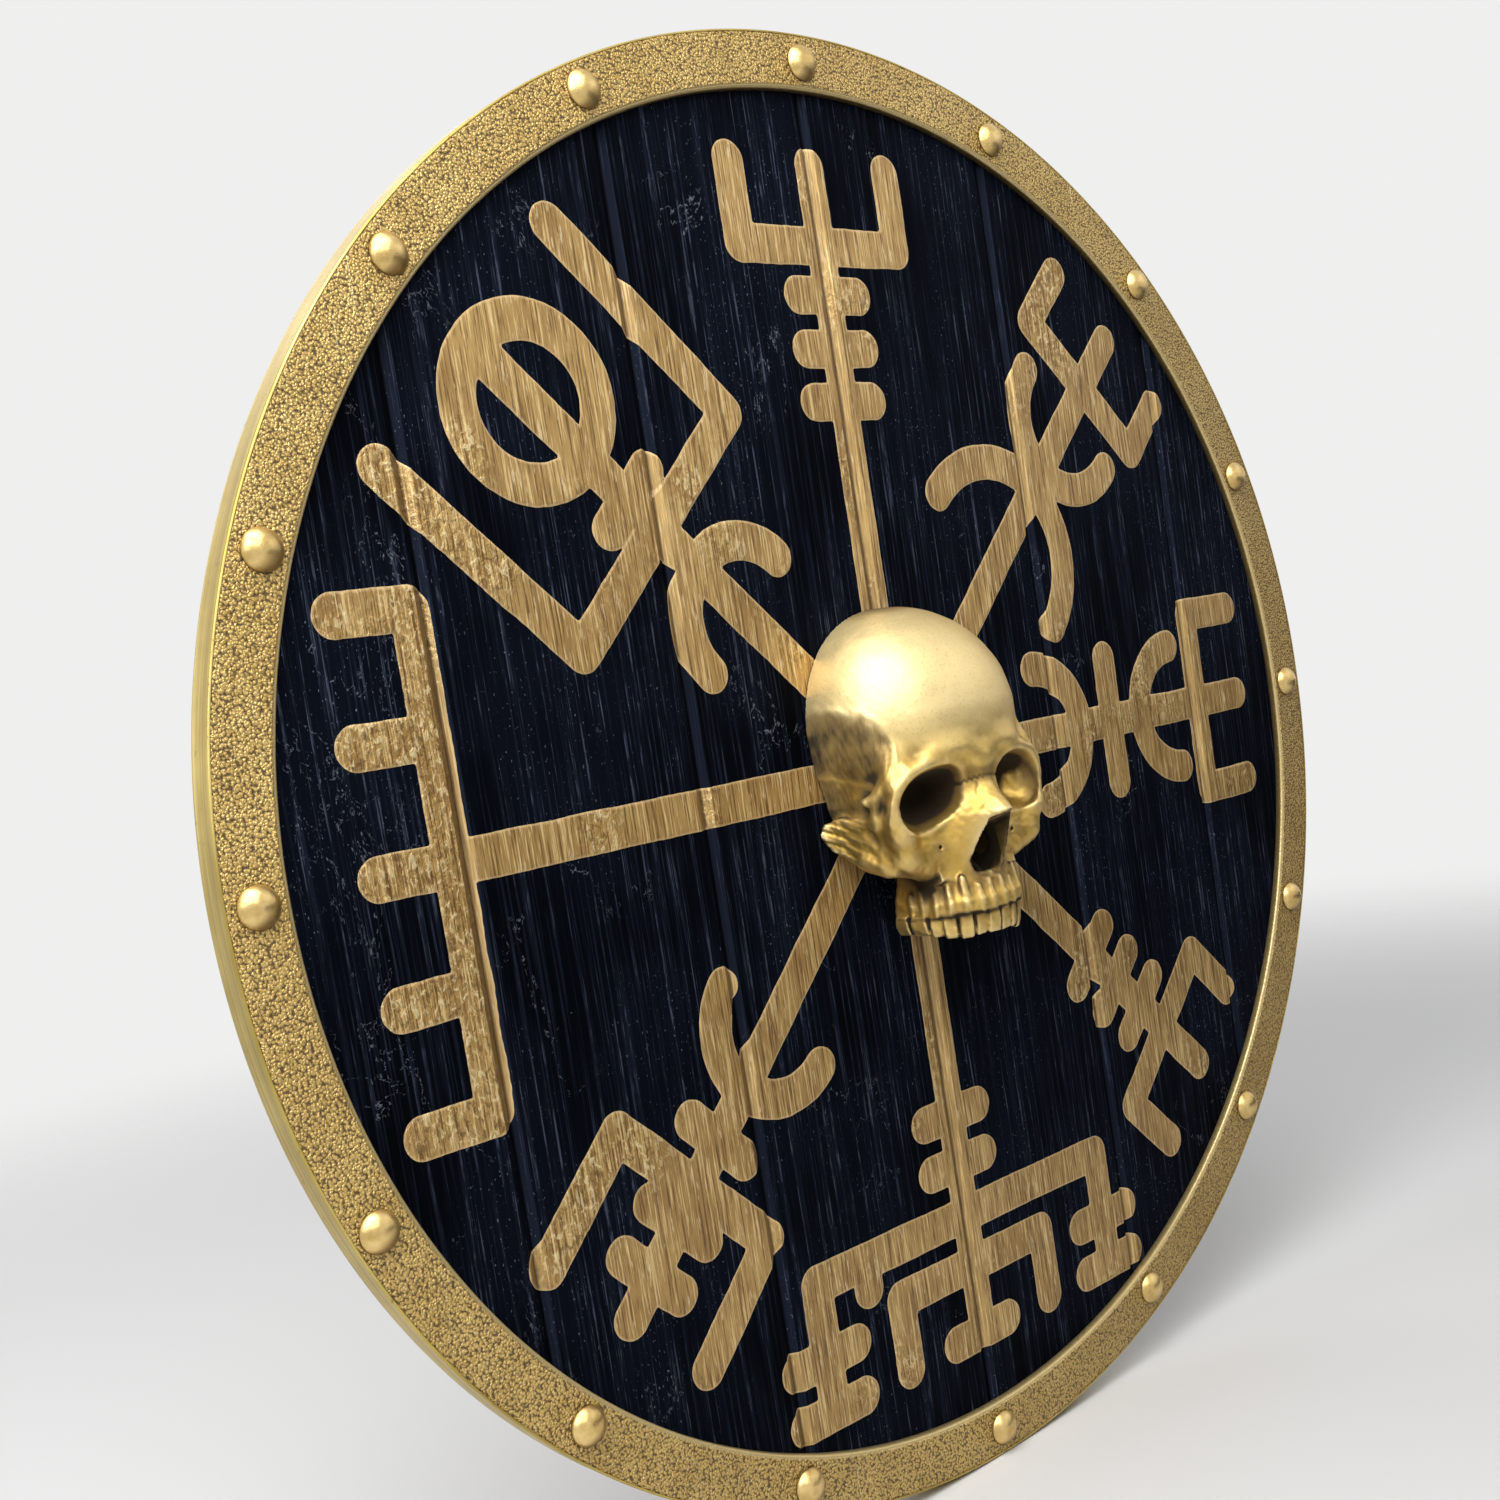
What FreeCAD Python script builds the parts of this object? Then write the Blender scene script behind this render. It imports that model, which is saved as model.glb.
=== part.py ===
import FreeCAD, Part
import math
import os

# Round viking shield of six boards, with a nailed rim, a gilded stave figure of eight arms
# and a cast skull as its boss. Millimetres.
# X runs to the right of someone who looks at the front, Z runs up, the front faces -Y.
# The origin is at the shield's centre, in the plane of the grip's flat back, where a wall is.

# Shield
shield_diameter = 610.0
overrun = 5.0
touch = 0.5

# Boards, tongued and grooved, with a V at each seam
board_count = 6
board_pitch_share = 0.1754
board_thickness = 9.5
vee_width = 3.5
vee_depth = 2.5
tongue_length = 6.0
tongue_thickness = 3.0
tongue_side_gap = 0.1
tongue_end_gap = 0.4

# Rim: a flat ring on the face and a band round the edge
rim_ring_width = 22.0
rim_ring_thickness = 4.0
rim_bead_radius = 1.5
edge_band_thickness = 1.0
edge_band_joint = 0.5

# Dome-headed rivets through the rim, closed over round roves
rivet_count = 16
rivet_head_diameter = 15.0
rivet_head_height = 5.0
rivet_shank_diameter = 4.0
rivet_hole_gap = 0.1
rivet_tail_diameter = 6.5
rivet_tail_height = 1.5
rove_diameter = 12.0
rove_thickness = 1.0

# Gilded stave figure
stave_stroke_width = 16.0
stave_thickness = 0.3
stave_reach_share = 0.894

# Skull: half width and depth at the boards, and its height
skull_height = 139.0
skull_half_width = 50.0
skull_depth = 60.0
skull_screw_diameter = 4.0
skull_screw_grip = 18.0
skull_screw_spread = 52.0
skull_screw_upper = 46.0
skull_screw_lower = -6.0
skull_washer_diameter = 12.0
skull_washer_thickness = 1.0

# Battens across the back
batten_offset_share = 0.377
batten_width = 38.0
batten_thickness = 12.0
batten_end_clearance = 6.0
batten_edge_radius = 3.0

# Hand grip
grip_length = 260.0
grip_height = 30.0
grip_depth = 20.0
grip_edge_radius = 6.0
finger_gap = 32.0
block_width = 44.0
block_height = 36.0
block_screw_spacing = 24.0
grip_counterbore_depth = 4.0
grip_counterbore_gap = 0.5

# Screws: shank, round head, and how far they reach into the boards
screw_diameter = 4.0
screw_head_diameter = 8.0
screw_head_height = 2.4
screw_slot_width = 1.0
screw_slot_depth = 1.0
screw_reach = 7.5
screw_hole_gap = 0.25

# Hanger at the top of the back
hanger_edge_distance = 83.0
hanger_plate_length = 62.0
hanger_plate_width = 24.0
hanger_plate_thickness = 1.5
hanger_sleeve_length = 20.0
hanger_sleeve_wall = 1.5
hanger_wire_diameter = 3.5
hanger_running_gap = 0.05
hanger_ring_inner_width = 28.0
hanger_ring_leg = 8.0
hanger_ring_corner = 4.0
hanger_ring_standoff = 0.6
hanger_screw_edge = 7.0

# Places that follow from the sizes above
shield_radius = shield_diameter / 2
board_radius = shield_radius - edge_band_thickness
field_radius = board_radius - rim_ring_width
rivet_circle_radius = (field_radius + shield_radius) / 2
board_pitch = shield_diameter * board_pitch_share
batten_offset = shield_radius * batten_offset_share
hanger_height = shield_radius - hanger_edge_distance
board_back = -(grip_depth + finger_gap)
board_front = board_back - board_thickness
ring_front = board_front - rim_ring_thickness
stave_reach = field_radius * stave_reach_share
stave_front = board_front - stave_thickness
board_half_height = board_radius + overrun

vec = FreeCAD.Vector
outward = vec(0, 1, 0)
full_turn = 360.0
half_turn = 180.0
slot_turn_share = 0.7071


def box(x0, x1, y0, y1, z0, z1):
    """A block between two corners."""
    return Part.makeBox(x1 - x0, y1 - y0, z1 - z0, vec(x0, y0, z0))


def rod(x, z, radius, y0, y1):
    """A round bar along Y."""
    return Part.makeCylinder(radius, y1 - y0, vec(x, y0, z), outward)


def fused(shapes):
    """One clean solid from several that touch or overlap."""
    whole = shapes[0].multiFuse(shapes[1:]) if len(shapes) > 1 else shapes[0]
    return whole.removeSplitter()


def polygon(points):
    """A flat face between corners."""
    return Part.Face(Part.makePolygon(points + [points[0]]))


def turned(outline):
    """A solid of revolution about the Y axis, from an outline of edges at Z = 0."""
    return Part.Face(Part.Wire(outline)).revolve(vec(0, 0, 0), outward, full_turn)


def line(start, end):
    return Part.LineSegment(vec(*start), vec(*end)).toShape()


def arc(start, middle, end):
    return Part.Arc(vec(*start), vec(*middle), vec(*end)).toShape()


def copies(shape, places):
    """The same solid at several places across the shield."""
    return [shape.translated(vec(x, 0, z)) for x, z in places]


def save(name, shapes):
    """One node, which may be a group of separate solids."""
    shape = shapes[0] if len(shapes) == 1 else Part.makeCompound(shapes)
    solids = shape.Solids
    if len(solids) != len(shapes) or not all(s.isValid() for s in solids):
        raise ValueError(name + " isn't made of sound solids")
    whole = solids[0] if len(solids) == 1 else Part.makeCompound(solids)
    whole.exportStep("parts/" + name + ".step")


# Where the fasteners go
def rivet_places():
    places = []
    for i in range(rivet_count):
        angle = 2 * math.pi * i / rivet_count
        x = rivet_circle_radius * math.sin(angle)
        z = rivet_circle_radius * math.cos(angle)
        places.append((x, z))
    return places


def skull_screw_places():
    half = skull_screw_spread / 2
    heights = (skull_screw_upper, skull_screw_lower)
    return [(side * half, z) for side in (-1, 1) for z in heights]


def batten_half_length():
    corner_radius = rivet_circle_radius - rove_diameter / 2 - batten_end_clearance
    corner_height = batten_offset + batten_width / 2
    return math.sqrt(corner_radius**2 - corner_height**2)


def batten_screw_places(z):
    """One screw in the middle of each board that the batten crosses."""
    places = []
    reach = batten_half_length()
    for i in range(board_count):
        left = max((i - board_count / 2) * board_pitch, -reach)
        right = min((i + 1 - board_count / 2) * board_pitch, reach)
        if right - left > 2 * screw_head_diameter:
            places.append(((left + right) / 2, z))
    return places


def block_centre():
    """The grip's blocks stand at its two ends."""
    return (grip_length - block_width) / 2


def grip_screw_places():
    half = block_screw_spacing / 2
    return [(side * (block_centre() + step), 0) for side in (-1, 1) for step in (-half, half)]


def hanger_screw_places():
    half = hanger_plate_length / 2 - hanger_screw_edge
    return [(-half, hanger_plate_middle()), (half, hanger_plate_middle())]


# Boards
def board_outline(index):
    """A board's cross-section: bevels in front, tongue on the right, groove on the left."""
    left = (index - board_count / 2) * board_pitch
    right = left + board_pitch
    first = index == 0
    last = index == board_count - 1
    middle = (board_front + vee_depth + board_back) / 2
    near = middle - tongue_thickness / 2
    far = middle + tongue_thickness / 2
    points = []
    if first:
        left = min(left, -board_half_height)
        points.append(vec(left, board_front, 0))
    else:
        groove = left + tongue_length + tongue_end_gap
        points.append(vec(left, near - tongue_side_gap, 0))
        points.append(vec(left, board_front + vee_depth, 0))
        points.append(vec(left + vee_width, board_front, 0))
    if last:
        right = max(right, board_half_height)
        points.append(vec(right, board_front, 0))
        points.append(vec(right, board_back, 0))
    else:
        points.append(vec(right - vee_width, board_front, 0))
        points.append(vec(right, board_front + vee_depth, 0))
        points.append(vec(right, near, 0))
        points.append(vec(right + tongue_length, near, 0))
        points.append(vec(right + tongue_length, far, 0))
        points.append(vec(right, far, 0))
        points.append(vec(right, board_back, 0))
    points.append(vec(left, board_back, 0))
    if not first:
        points.append(vec(left, far + tongue_side_gap, 0))
        points.append(vec(groove, far + tongue_side_gap, 0))
        points.append(vec(groove, near - tongue_side_gap, 0))
    return polygon(points)


def skull_screw_holes():
    """Through holes for the screws that hold the skull, in the boards and the gilding."""
    radius = skull_screw_diameter / 2 + screw_hole_gap
    front = board_front - overrun
    back = board_back + overrun
    return Part.makeCompound([rod(x, z, radius, front, back) for x, z in skull_screw_places()])


def board_holes():
    """Every hole in the boards: through holes and blind pilot holes from the back."""
    radius = rivet_shank_diameter / 2 + rivet_hole_gap
    blind = grip_screw_places() + hanger_screw_places()
    for side in (-1, 1):
        blind += batten_screw_places(side * batten_offset)
    front = board_front - overrun
    back = board_back + overrun
    holes = [rod(x, z, radius, front, back) for x, z in rivet_places()]
    holes += [rod(x, z, screw_diameter / 2, board_back - screw_reach, back) for x, z in blind]
    return Part.makeCompound(holes + [skull_screw_holes()])


def boards():
    disc = rod(0, 0, board_radius, board_front - overrun, board_back + overrun)
    holes = board_holes()
    shapes = []
    for index in range(board_count):
        face = board_outline(index)
        face.translate(vec(0, 0, -board_half_height))
        plank = face.extrude(vec(0, 0, 2 * board_half_height))
        shapes.append(plank.common(disc).cut(holes))
    return shapes


# Rim
def rim_ring():
    """A flat ring with a rounded inner front edge."""
    inner = field_radius
    bead = rim_bead_radius
    turn = bead * (1 - math.sqrt(0.5))
    corner = (inner, ring_front + bead, 0)
    round_middle = (inner + turn, ring_front + turn, 0)
    flat_start = (inner + bead, ring_front, 0)
    outer_front = (board_radius, ring_front, 0)
    outer_back = (board_radius, board_front, 0)
    inner_back = (inner, board_front, 0)
    ring = turned([
        arc(corner, round_middle, flat_start),
        line(flat_start, outer_front),
        line(outer_front, outer_back),
        line(outer_back, inner_back),
        line(inner_back, corner),
    ])
    hole = rivet_shank_diameter / 2 + rivet_hole_gap
    front = ring_front - overrun
    back = board_front + overrun
    holes = [rod(x, z, hole, front, back) for x, z in rivet_places()]
    return ring.cut(Part.makeCompound(holes))


def edge_band():
    """A thin band bent round the edge, its ends butted at the bottom."""
    band = rod(0, 0, shield_radius, ring_front, board_back)
    band = band.cut(rod(0, 0, board_radius, ring_front - overrun, board_back + overrun))
    half = edge_band_joint / 2
    front = ring_front - overrun
    back = board_back + overrun
    joint = box(-half, half, front, back, -shield_radius - overrun, -board_radius + overrun)
    return band.cut(joint)


def dome(radius, base, height):
    """The curve of a round cap, from its rim to its crown; a negative height bulges forward."""
    ball = (radius**2 + height**2) / (2 * height)
    centre = base + height - ball
    half_angle = math.asin(radius / abs(ball)) / 2
    shoulder = (abs(ball) * math.sin(half_angle), centre + ball * math.cos(half_angle), 0)
    return arc((radius, base, 0), shoulder, (0, base + height, 0))


def rivet():
    """Dome head in front, shank, and a tail closed over the rove at the back."""
    head = rivet_head_diameter / 2
    shank = rivet_shank_diameter / 2
    tail = rivet_tail_diameter / 2
    rove_back = board_back + rove_thickness
    return turned([
        dome(head, ring_front, -rivet_head_height),
        line((head, ring_front, 0), (shank, ring_front, 0)),
        line((shank, ring_front, 0), (shank, rove_back, 0)),
        line((shank, rove_back, 0), (tail, rove_back, 0)),
        dome(tail, rove_back, rivet_tail_height),
        line((0, rove_back + rivet_tail_height, 0), (0, ring_front - rivet_head_height, 0)),
    ])


def washer(diameter, thickness, hole_radius, y0):
    disc = rod(0, 0, diameter / 2, y0, y0 + thickness)
    return disc.cut(rod(0, 0, hole_radius, y0 - overrun, y0 + thickness + overrun))


def screw(head_back, tip, slot_turn):
    """A round-headed slotted screw that points forward, its head's seat at head_back."""
    head = screw_head_diameter / 2
    shank = screw_diameter / 2
    seat = head_back - screw_head_height
    point = tip + shank
    body = turned([
        line((0, tip, 0), (shank, point, 0)),
        line((shank, point, 0), (shank, seat, 0)),
        line((shank, seat, 0), (head, seat, 0)),
        dome(head, seat, screw_head_height),
        line((0, head_back, 0), (0, tip, 0)),
    ])
    half = screw_slot_width / 2
    slot = box(-head, head, head_back - screw_slot_depth, head_back + overrun, -half, half)
    slot.rotate(vec(0, 0, 0), outward, slot_turn)
    return body.cut(slot)


def screws(places, seat, tip):
    """Screws whose slots point each their own way."""
    head_back = seat + screw_head_height
    found = []
    for index, (x, z) in enumerate(places):
        slot_turn = full_turn * slot_turn_share * index
        found += copies(screw(head_back, tip, slot_turn), [(x, z)])
    return found


# Stave figure: strokes with round ends, in shares of the stave's reach
# u runs outward along the arm and v to the left of someone who looks outward along it
arm_start_share = 0.16
bar_half_share = 0.066
prong_share = 0.176
bow_wedge_share = 2.0
bow_wedge_steps = 4


def straight(u0, v0, u1, v1):
    return [("straight", u0, v0, u1, v1)]


def staff(end):
    return straight(arm_start_share, 0, end, 0)


def bars(places, half=bar_half_share):
    """Short strokes across the staff."""
    return [("straight", u, -half, u, half) for u in places]


def fork(bar, half, tip):
    """A stroke across the staff with a prong at each end."""
    strokes = straight(bar, -half, bar, half)
    for side in (-1, 1):
        strokes += straight(bar, side * half, tip, side * half)
    return strokes


def bow(centre, radius, opens_outward, half_angle):
    """Part of a circle across the staff, its middle on the staff."""
    middle = half_turn if opens_outward else 0
    return [("bow", centre, radius, middle, half_angle)]


def north_arm_shares():
    return staff(1.0) + bars((0.615, 0.702, 0.79)) + fork(0.87, prong_share, 1.0)


def north_west_arm_shares():
    ring = bow(0.884, 0.119, True, half_turn)
    strokes = staff(0.99) + bow(0.401, 0.119, False, 88) + fork(0.61, 0.241, 1.008)
    return strokes + bars((0.675,), 0.06) + ring


def west_arm_shares():
    comb = fork(0.872, 2 * prong_share, 0.986)
    for side in (-1, 1):
        comb += straight(0.872, side * prong_share, 0.986, side * prong_share)
    return staff(0.986) + comb


def south_west_arm_shares():
    tail = bars((0.71, 0.847, 0.935), 0.063)
    return staff(1.002) + bow(0.5, 0.121, False, 85) + fork(0.79, 0.173, 1.004) + tail


def south_arm_shares():
    outer_half = 0.355
    strokes = staff(0.995) + bars((0.607, 0.694, 0.994))
    strokes += fork(0.784, outer_half, 0.995) + fork(0.873, 0.18, 0.994)
    strokes += straight(0.784, -0.245, 0.831, -0.245)
    for side in (-1, 1):
        for u in (0.906, 0.995):
            v = side * outer_half
            strokes += straight(u, v - bar_half_share, u, v + bar_half_share)
    return strokes


def south_east_arm_shares():
    return staff(1.0) + bars((0.599, 0.688, 0.778)) + fork(0.861, 0.172, 1.0)


def east_arm_shares():
    bows = bow(0.369, 0.122, False, 87) + bow(0.794, 0.12, True, 87)
    return staff(1.0) + bows + bars((0.583,), 0.119) + fork(0.861, prong_share, 1.0)


def north_east_arm_shares():
    bows = bow(0.452, 0.183, False, 88) + bow(0.813, 0.135, True, 88)
    return staff(1.016) + bows + fork(0.891, prong_share, 1.016)


def stroke_prism(stroke):
    """One stroke of an arm that points along +X, as a prism along Y."""
    radius = stave_stroke_width / 2
    y0 = stave_front - overrun
    y1 = board_front + vee_depth + overrun
    if stroke[0] == "straight":
        u0, v0, u1, v1 = [share * stave_reach for share in stroke[1:]]
        length = math.hypot(u1 - u0, v1 - v0)
        bar = box(0, length, y0, y1, -radius, radius)
        bar.rotate(vec(0, 0, 0), outward, -math.degrees(math.atan2(v1 - v0, u1 - u0)))
        bar.translate(vec(u0, 0, v0))
        return fused([bar, rod(u0, v0, radius, y0, y1), rod(u1, v1, radius, y0, y1)])
    centre = stroke[1] * stave_reach
    bow_radius = stroke[2] * stave_reach
    middle, half_angle = stroke[3:]
    outer = rod(centre, 0, bow_radius + radius, y0, y1)
    ring = outer.cut(rod(centre, 0, bow_radius - radius, y0 - overrun, y1 + overrun))
    if half_angle == half_turn:
        return ring
    ends = [math.radians(middle - half_angle), math.radians(middle + half_angle)]
    reach = bow_wedge_share * (bow_radius + radius)
    corners = [vec(centre, y0, 0)]
    for i in range(bow_wedge_steps + 1):
        angle = ends[0] + (ends[1] - ends[0]) * i / bow_wedge_steps
        corners.append(vec(centre + reach * math.cos(angle), y0, reach * math.sin(angle)))
    wedge = polygon(corners).extrude(vec(0, y1 - y0, 0))
    parts = [ring.common(wedge)]
    for angle in ends:
        x = centre + bow_radius * math.cos(angle)
        parts.append(rod(x, bow_radius * math.sin(angle), radius, y0, y1))
    return fused(parts)


def gilding_sheet():
    """A thin sheet that lies on the boards' fronts and down into the V at each seam."""
    profile = [(-board_half_height, board_front)]
    for index in range(1, board_count):
        seam = (index - board_count / 2) * board_pitch
        profile.append((seam - vee_width, board_front))
        profile.append((seam, board_front + vee_depth))
        profile.append((seam + vee_width, board_front))
    profile.append((board_half_height, board_front))
    back = [vec(x, y, -board_half_height) for x, y in profile]
    front = [vec(x, y - stave_thickness, -board_half_height) for x, y in reversed(profile)]
    return polygon(back + front).extrude(vec(0, 0, 2 * board_half_height))


def stave_arm(strokes, bearing, sheet):
    """The strokes of one arm, turned to its bearing and laid on the boards."""
    prism = fused([stroke_prism(stroke) for stroke in strokes])
    prism.rotate(vec(0, 0, 0), outward, -bearing)
    return fused([sheet.common(prism).cut(skull_screw_holes())])


# Skull: half-sections at several heights, from the boards round to the middle of the face
# Each row is a height in shares of the skull's height, then pairs of sideways and forward
# places in shares of its half width and depth: at the boards, over the temple, at the side of
# the face, beside the middle, and on the middle
skull_section_shares = (
    (-0.455, (0.16, 0.0), (0.40, 0.20), (0.46, 0.37), (0.29, 0.67), (0.0, 0.765)),
    (-0.385, (0.16, 0.0), (0.42, 0.20), (0.48, 0.37), (0.30, 0.66), (0.0, 0.74)),
    (-0.30, (0.22, 0.0), (0.46, 0.20), (0.54, 0.42), (0.34, 0.63), (0.0, 0.70)),
    (-0.235, (0.45, 0.0), (0.50, 0.20), (0.74, 0.50), (0.42, 0.66), (0.0, 0.70)),
    (-0.185, (0.70, 0.0), (0.58, 0.24), (0.86, 0.55), (0.48, 0.69), (0.0, 0.74)),
    (-0.12, (0.82, 0.0), (0.64, 0.26), (0.87, 0.57), (0.48, 0.71), (0.0, 0.77)),
    (-0.05, (0.91, 0.0), (0.72, 0.28), (0.85, 0.61), (0.50, 0.75), (0.0, 0.79)),
    (0.012, (0.955, 0.0), (0.80, 0.27), (0.83, 0.64), (0.48, 0.81), (0.0, 0.835)),
    (0.06, (0.98, 0.0), (0.87, 0.27), (0.79, 0.58), (0.46, 0.785), (0.0, 0.835)),
    (0.13, (1.0, 0.0), (0.91, 0.27), (0.77, 0.54), (0.45, 0.755), (0.0, 0.82)),
    (0.22, (0.99, 0.0), (0.92, 0.27), (0.74, 0.52), (0.42, 0.72), (0.0, 0.785)),
    (0.315, (0.91, 0.0), (0.85, 0.24), (0.67, 0.46), (0.37, 0.63), (0.0, 0.69)),
    (0.39, (0.745, 0.0), (0.69, 0.19), (0.53, 0.37), (0.28, 0.50), (0.0, 0.54)),
    (0.448, (0.53, 0.0), (0.48, 0.14), (0.36, 0.26), (0.18, 0.34), (0.0, 0.365)),
    (0.477, (0.27, 0.0), (0.24, 0.08), (0.17, 0.14), (0.09, 0.175), (0.0, 0.19)),
    (0.487, (0.08, 0.0), (0.07, 0.025), (0.05, 0.043), (0.025, 0.055), (0.0, 0.06)),
)
orbit_place_shares = (0.52, 0.80, -0.086)
orbit_size_shares = (0.315, 0.42, 0.088)
nose_root_share = -0.045
nose_middle_share = -0.10
nose_tip_share = -0.155
nasal_rib_shares = (
    (nose_root_share, 0.0975, 0.80),
    (nose_middle_share, 0.104, 0.87),
    (nose_tip_share, 0.13, 1.0),
)
nasal_shoulder_share = 0.2
nose_hole_top_share = -0.143
nose_hole_upper_shares = (0.118, -0.215)
nose_hole_lower_shares = (0.19, -0.291)
nose_hole_floor_share = -0.335
nose_hole_depth_share = 0.52
arch_front_shares = (0.78, 0.48)
arch_middle_shares = (0.955, 0.27)
arch_end_shares = (1.0, 0.0)
arch_height_share = -0.165
arch_depth_share = 0.065
arch_thickness_share = 0.10
tooth_arch_half_share = 0.43
tooth_arch_depth_share = 0.52
tooth_arch_start_share = 0.20
tooth_gum_share = -0.44
tooth_tip_share = -0.52
tooth_count = 14
tooth_radius_share = 0.075
tooth_taper_share = 0.85
tooth_round_share = 0.5


def skull_point(side, forward, height):
    """A place on the skull, from its shares of half width, depth and height."""
    x = side * skull_half_width
    y = stave_front - forward * skull_depth
    z = height * skull_height
    return vec(x, y, z)


def skull_section(row):
    """A closed wire at one height: the face's curve and the straight line on the boards."""
    height = row[0]
    right = [skull_point(side, forward, height) for side, forward in row[1:]]
    left = [skull_point(-side, forward, height) for side, forward in reversed(row[1:-1])]
    curve = Part.BSplineCurve()
    curve.interpolate(right + left)
    back = Part.LineSegment(left[-1], right[0])
    return Part.Wire([curve.toShape(), back.toShape()])


def ellipsoid(place, size, side):
    """An ellipsoid whose half axes are shares of the skull's three sizes."""
    ball = Part.makeSphere(1.0)
    scale = FreeCAD.Matrix()
    scale.scale(size[0] * skull_half_width, size[1] * skull_depth, size[2] * skull_height)
    ball = ball.transformGeometry(scale)
    ball.translate(skull_point(side * place[0], place[1], place[2]))
    return ball


def nasal_bones():
    """The ridge of the nose, from its root between the eyes to its free tip."""
    base = orbit_place_shares[1] - orbit_size_shares[1]
    ribs = []
    for height, half, front in nasal_rib_shares:
        shoulder = front - (front - base) * nasal_shoulder_share
        left = skull_point(-half, base, height)
        right = skull_point(half, base, height)
        left_shoulder = skull_point(-half, shoulder, height)
        right_shoulder = skull_point(half, shoulder, height)
        crest = arc(left_shoulder, skull_point(0, front, height), right_shoulder)
        walls = [line(left, left_shoulder), crest, line(right_shoulder, right)]
        ribs.append(Part.Wire(walls + [line(right, left)]))
    return Part.makeLoft(ribs, True)


def nose_opening():
    """A pear-shaped hole, wide at its floor."""
    upper_half, upper = nose_hole_upper_shares
    lower_half, lower = nose_hole_lower_shares
    top = skull_point(0, 1, nose_hole_top_share)
    floor = skull_point(0, 1, nose_hole_floor_share)
    low_left = skull_point(-lower_half, 1, lower)
    low_right = skull_point(lower_half, 1, lower)
    sides = [
        arc(top, skull_point(-upper_half, 1, upper), low_left),
        arc(low_left, floor, low_right),
        arc(low_right, skull_point(upper_half, 1, upper), top),
    ]
    face = Part.Face(Part.Wire(sides))
    face.translate(vec(0, -overrun, 0))
    return face.extrude(vec(0, skull_depth * nose_hole_depth_share + overrun, 0))


def cheek_arch(side):
    """The bar of bone from the cheek back to the boards, bowed a little outward."""
    half = arch_thickness_share / 2
    height = arch_height_share - arch_depth_share / 2
    rows = []
    for offset in (-half, half):
        row = []
        for place, forward in (arch_front_shares, arch_middle_shares, arch_end_shares):
            row.append(skull_point(side * (place + offset), forward, height))
        rows.append(row)
    inner, outer = rows
    sides = [arc(*inner), line(inner[2], outer[2]), arc(*reversed(outer)), line(outer[0], inner[0])]
    face = Part.Face(Part.Wire(sides))
    return face.extrude(vec(0, 0, arch_depth_share * skull_height))


def tooth(index):
    """One upper tooth, a short tapering peg on the arch of the jaw."""
    angle = math.pi * (index + tooth_round_share) / tooth_count
    side = tooth_arch_half_share * math.cos(angle)
    forward = tooth_arch_start_share + tooth_arch_depth_share * math.sin(angle)
    gum = skull_point(side, forward, tooth_gum_share)
    length = (tooth_gum_share - tooth_tip_share) * skull_height
    radius = tooth_radius_share * skull_half_width
    peg = Part.makeCone(radius, radius * tooth_taper_share, length, gum, vec(0, 0, -1))
    tip = peg.BoundBox.ZMin
    tip_edges = [edge for edge in peg.Edges if edge.BoundBox.ZMax < tip + touch]
    return peg.makeFillet(radius * tooth_round_share, tip_edges)


def skull():
    body = Part.makeLoft([skull_section(row) for row in skull_section_shares], True)
    added = [nasal_bones()] + [tooth(index) for index in range(tooth_count)]
    added += [cheek_arch(side) for side in (-1, 1)]
    body = body.multiFuse(added)
    holes = [ellipsoid(orbit_place_shares, orbit_size_shares, side) for side in (-1, 1)]
    holes.append(nose_opening())
    seat = stave_front
    tip = seat - skull_screw_grip - 2 * touch
    for x, z in skull_screw_places():
        holes.append(rod(x, z, skull_screw_diameter / 2, tip, seat + overrun))
    body = body.cut(Part.makeCompound(holes))
    behind = box(-shield_radius, shield_radius, seat, seat + skull_depth, -shield_radius, shield_radius)
    return body.cut(behind)


def skull_screws():
    seat = board_back + skull_washer_thickness
    return screws(skull_screw_places(), seat, stave_front - skull_screw_grip)


# Back
def batten(side):
    reach = batten_half_length()
    half = batten_width / 2
    z = side * batten_offset
    bar = box(-reach, reach, board_back, board_back + batten_thickness, z - half, z + half)
    back = board_back + batten_thickness
    edges = [edge for edge in bar.Edges if edge.BoundBox.YMin > back - touch]
    bar = bar.makeFillet(batten_edge_radius, edges)
    hole = screw_diameter / 2 + screw_hole_gap
    holes = [rod(x, z, hole, board_back - overrun, back + overrun) for x, z in batten_screw_places(z)]
    return bar.cut(Part.makeCompound(holes))


def batten_screws():
    places = batten_screw_places(batten_offset) + batten_screw_places(-batten_offset)
    return screws(places, board_back + batten_thickness, board_back - screw_reach)


def grip_bar():
    """The hand bar, rounded where the hand holds it, flat behind where it meets a wall."""
    half = grip_length / 2
    bar = box(-half, half, -grip_depth, 0, -grip_height / 2, grip_height / 2)
    edges = [edge for edge in bar.Edges if edge.BoundBox.XLength > grip_depth]
    bar = bar.makeFillet(grip_edge_radius, edges)
    hole = screw_diameter / 2 + screw_hole_gap
    counterbore = screw_head_diameter / 2 + grip_counterbore_gap
    holes = []
    for x, z in grip_screw_places():
        holes.append(rod(x, z, hole, -grip_depth - overrun, overrun))
        holes.append(rod(x, z, counterbore, -grip_counterbore_depth, overrun))
    return bar.cut(Part.makeCompound(holes))


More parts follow.
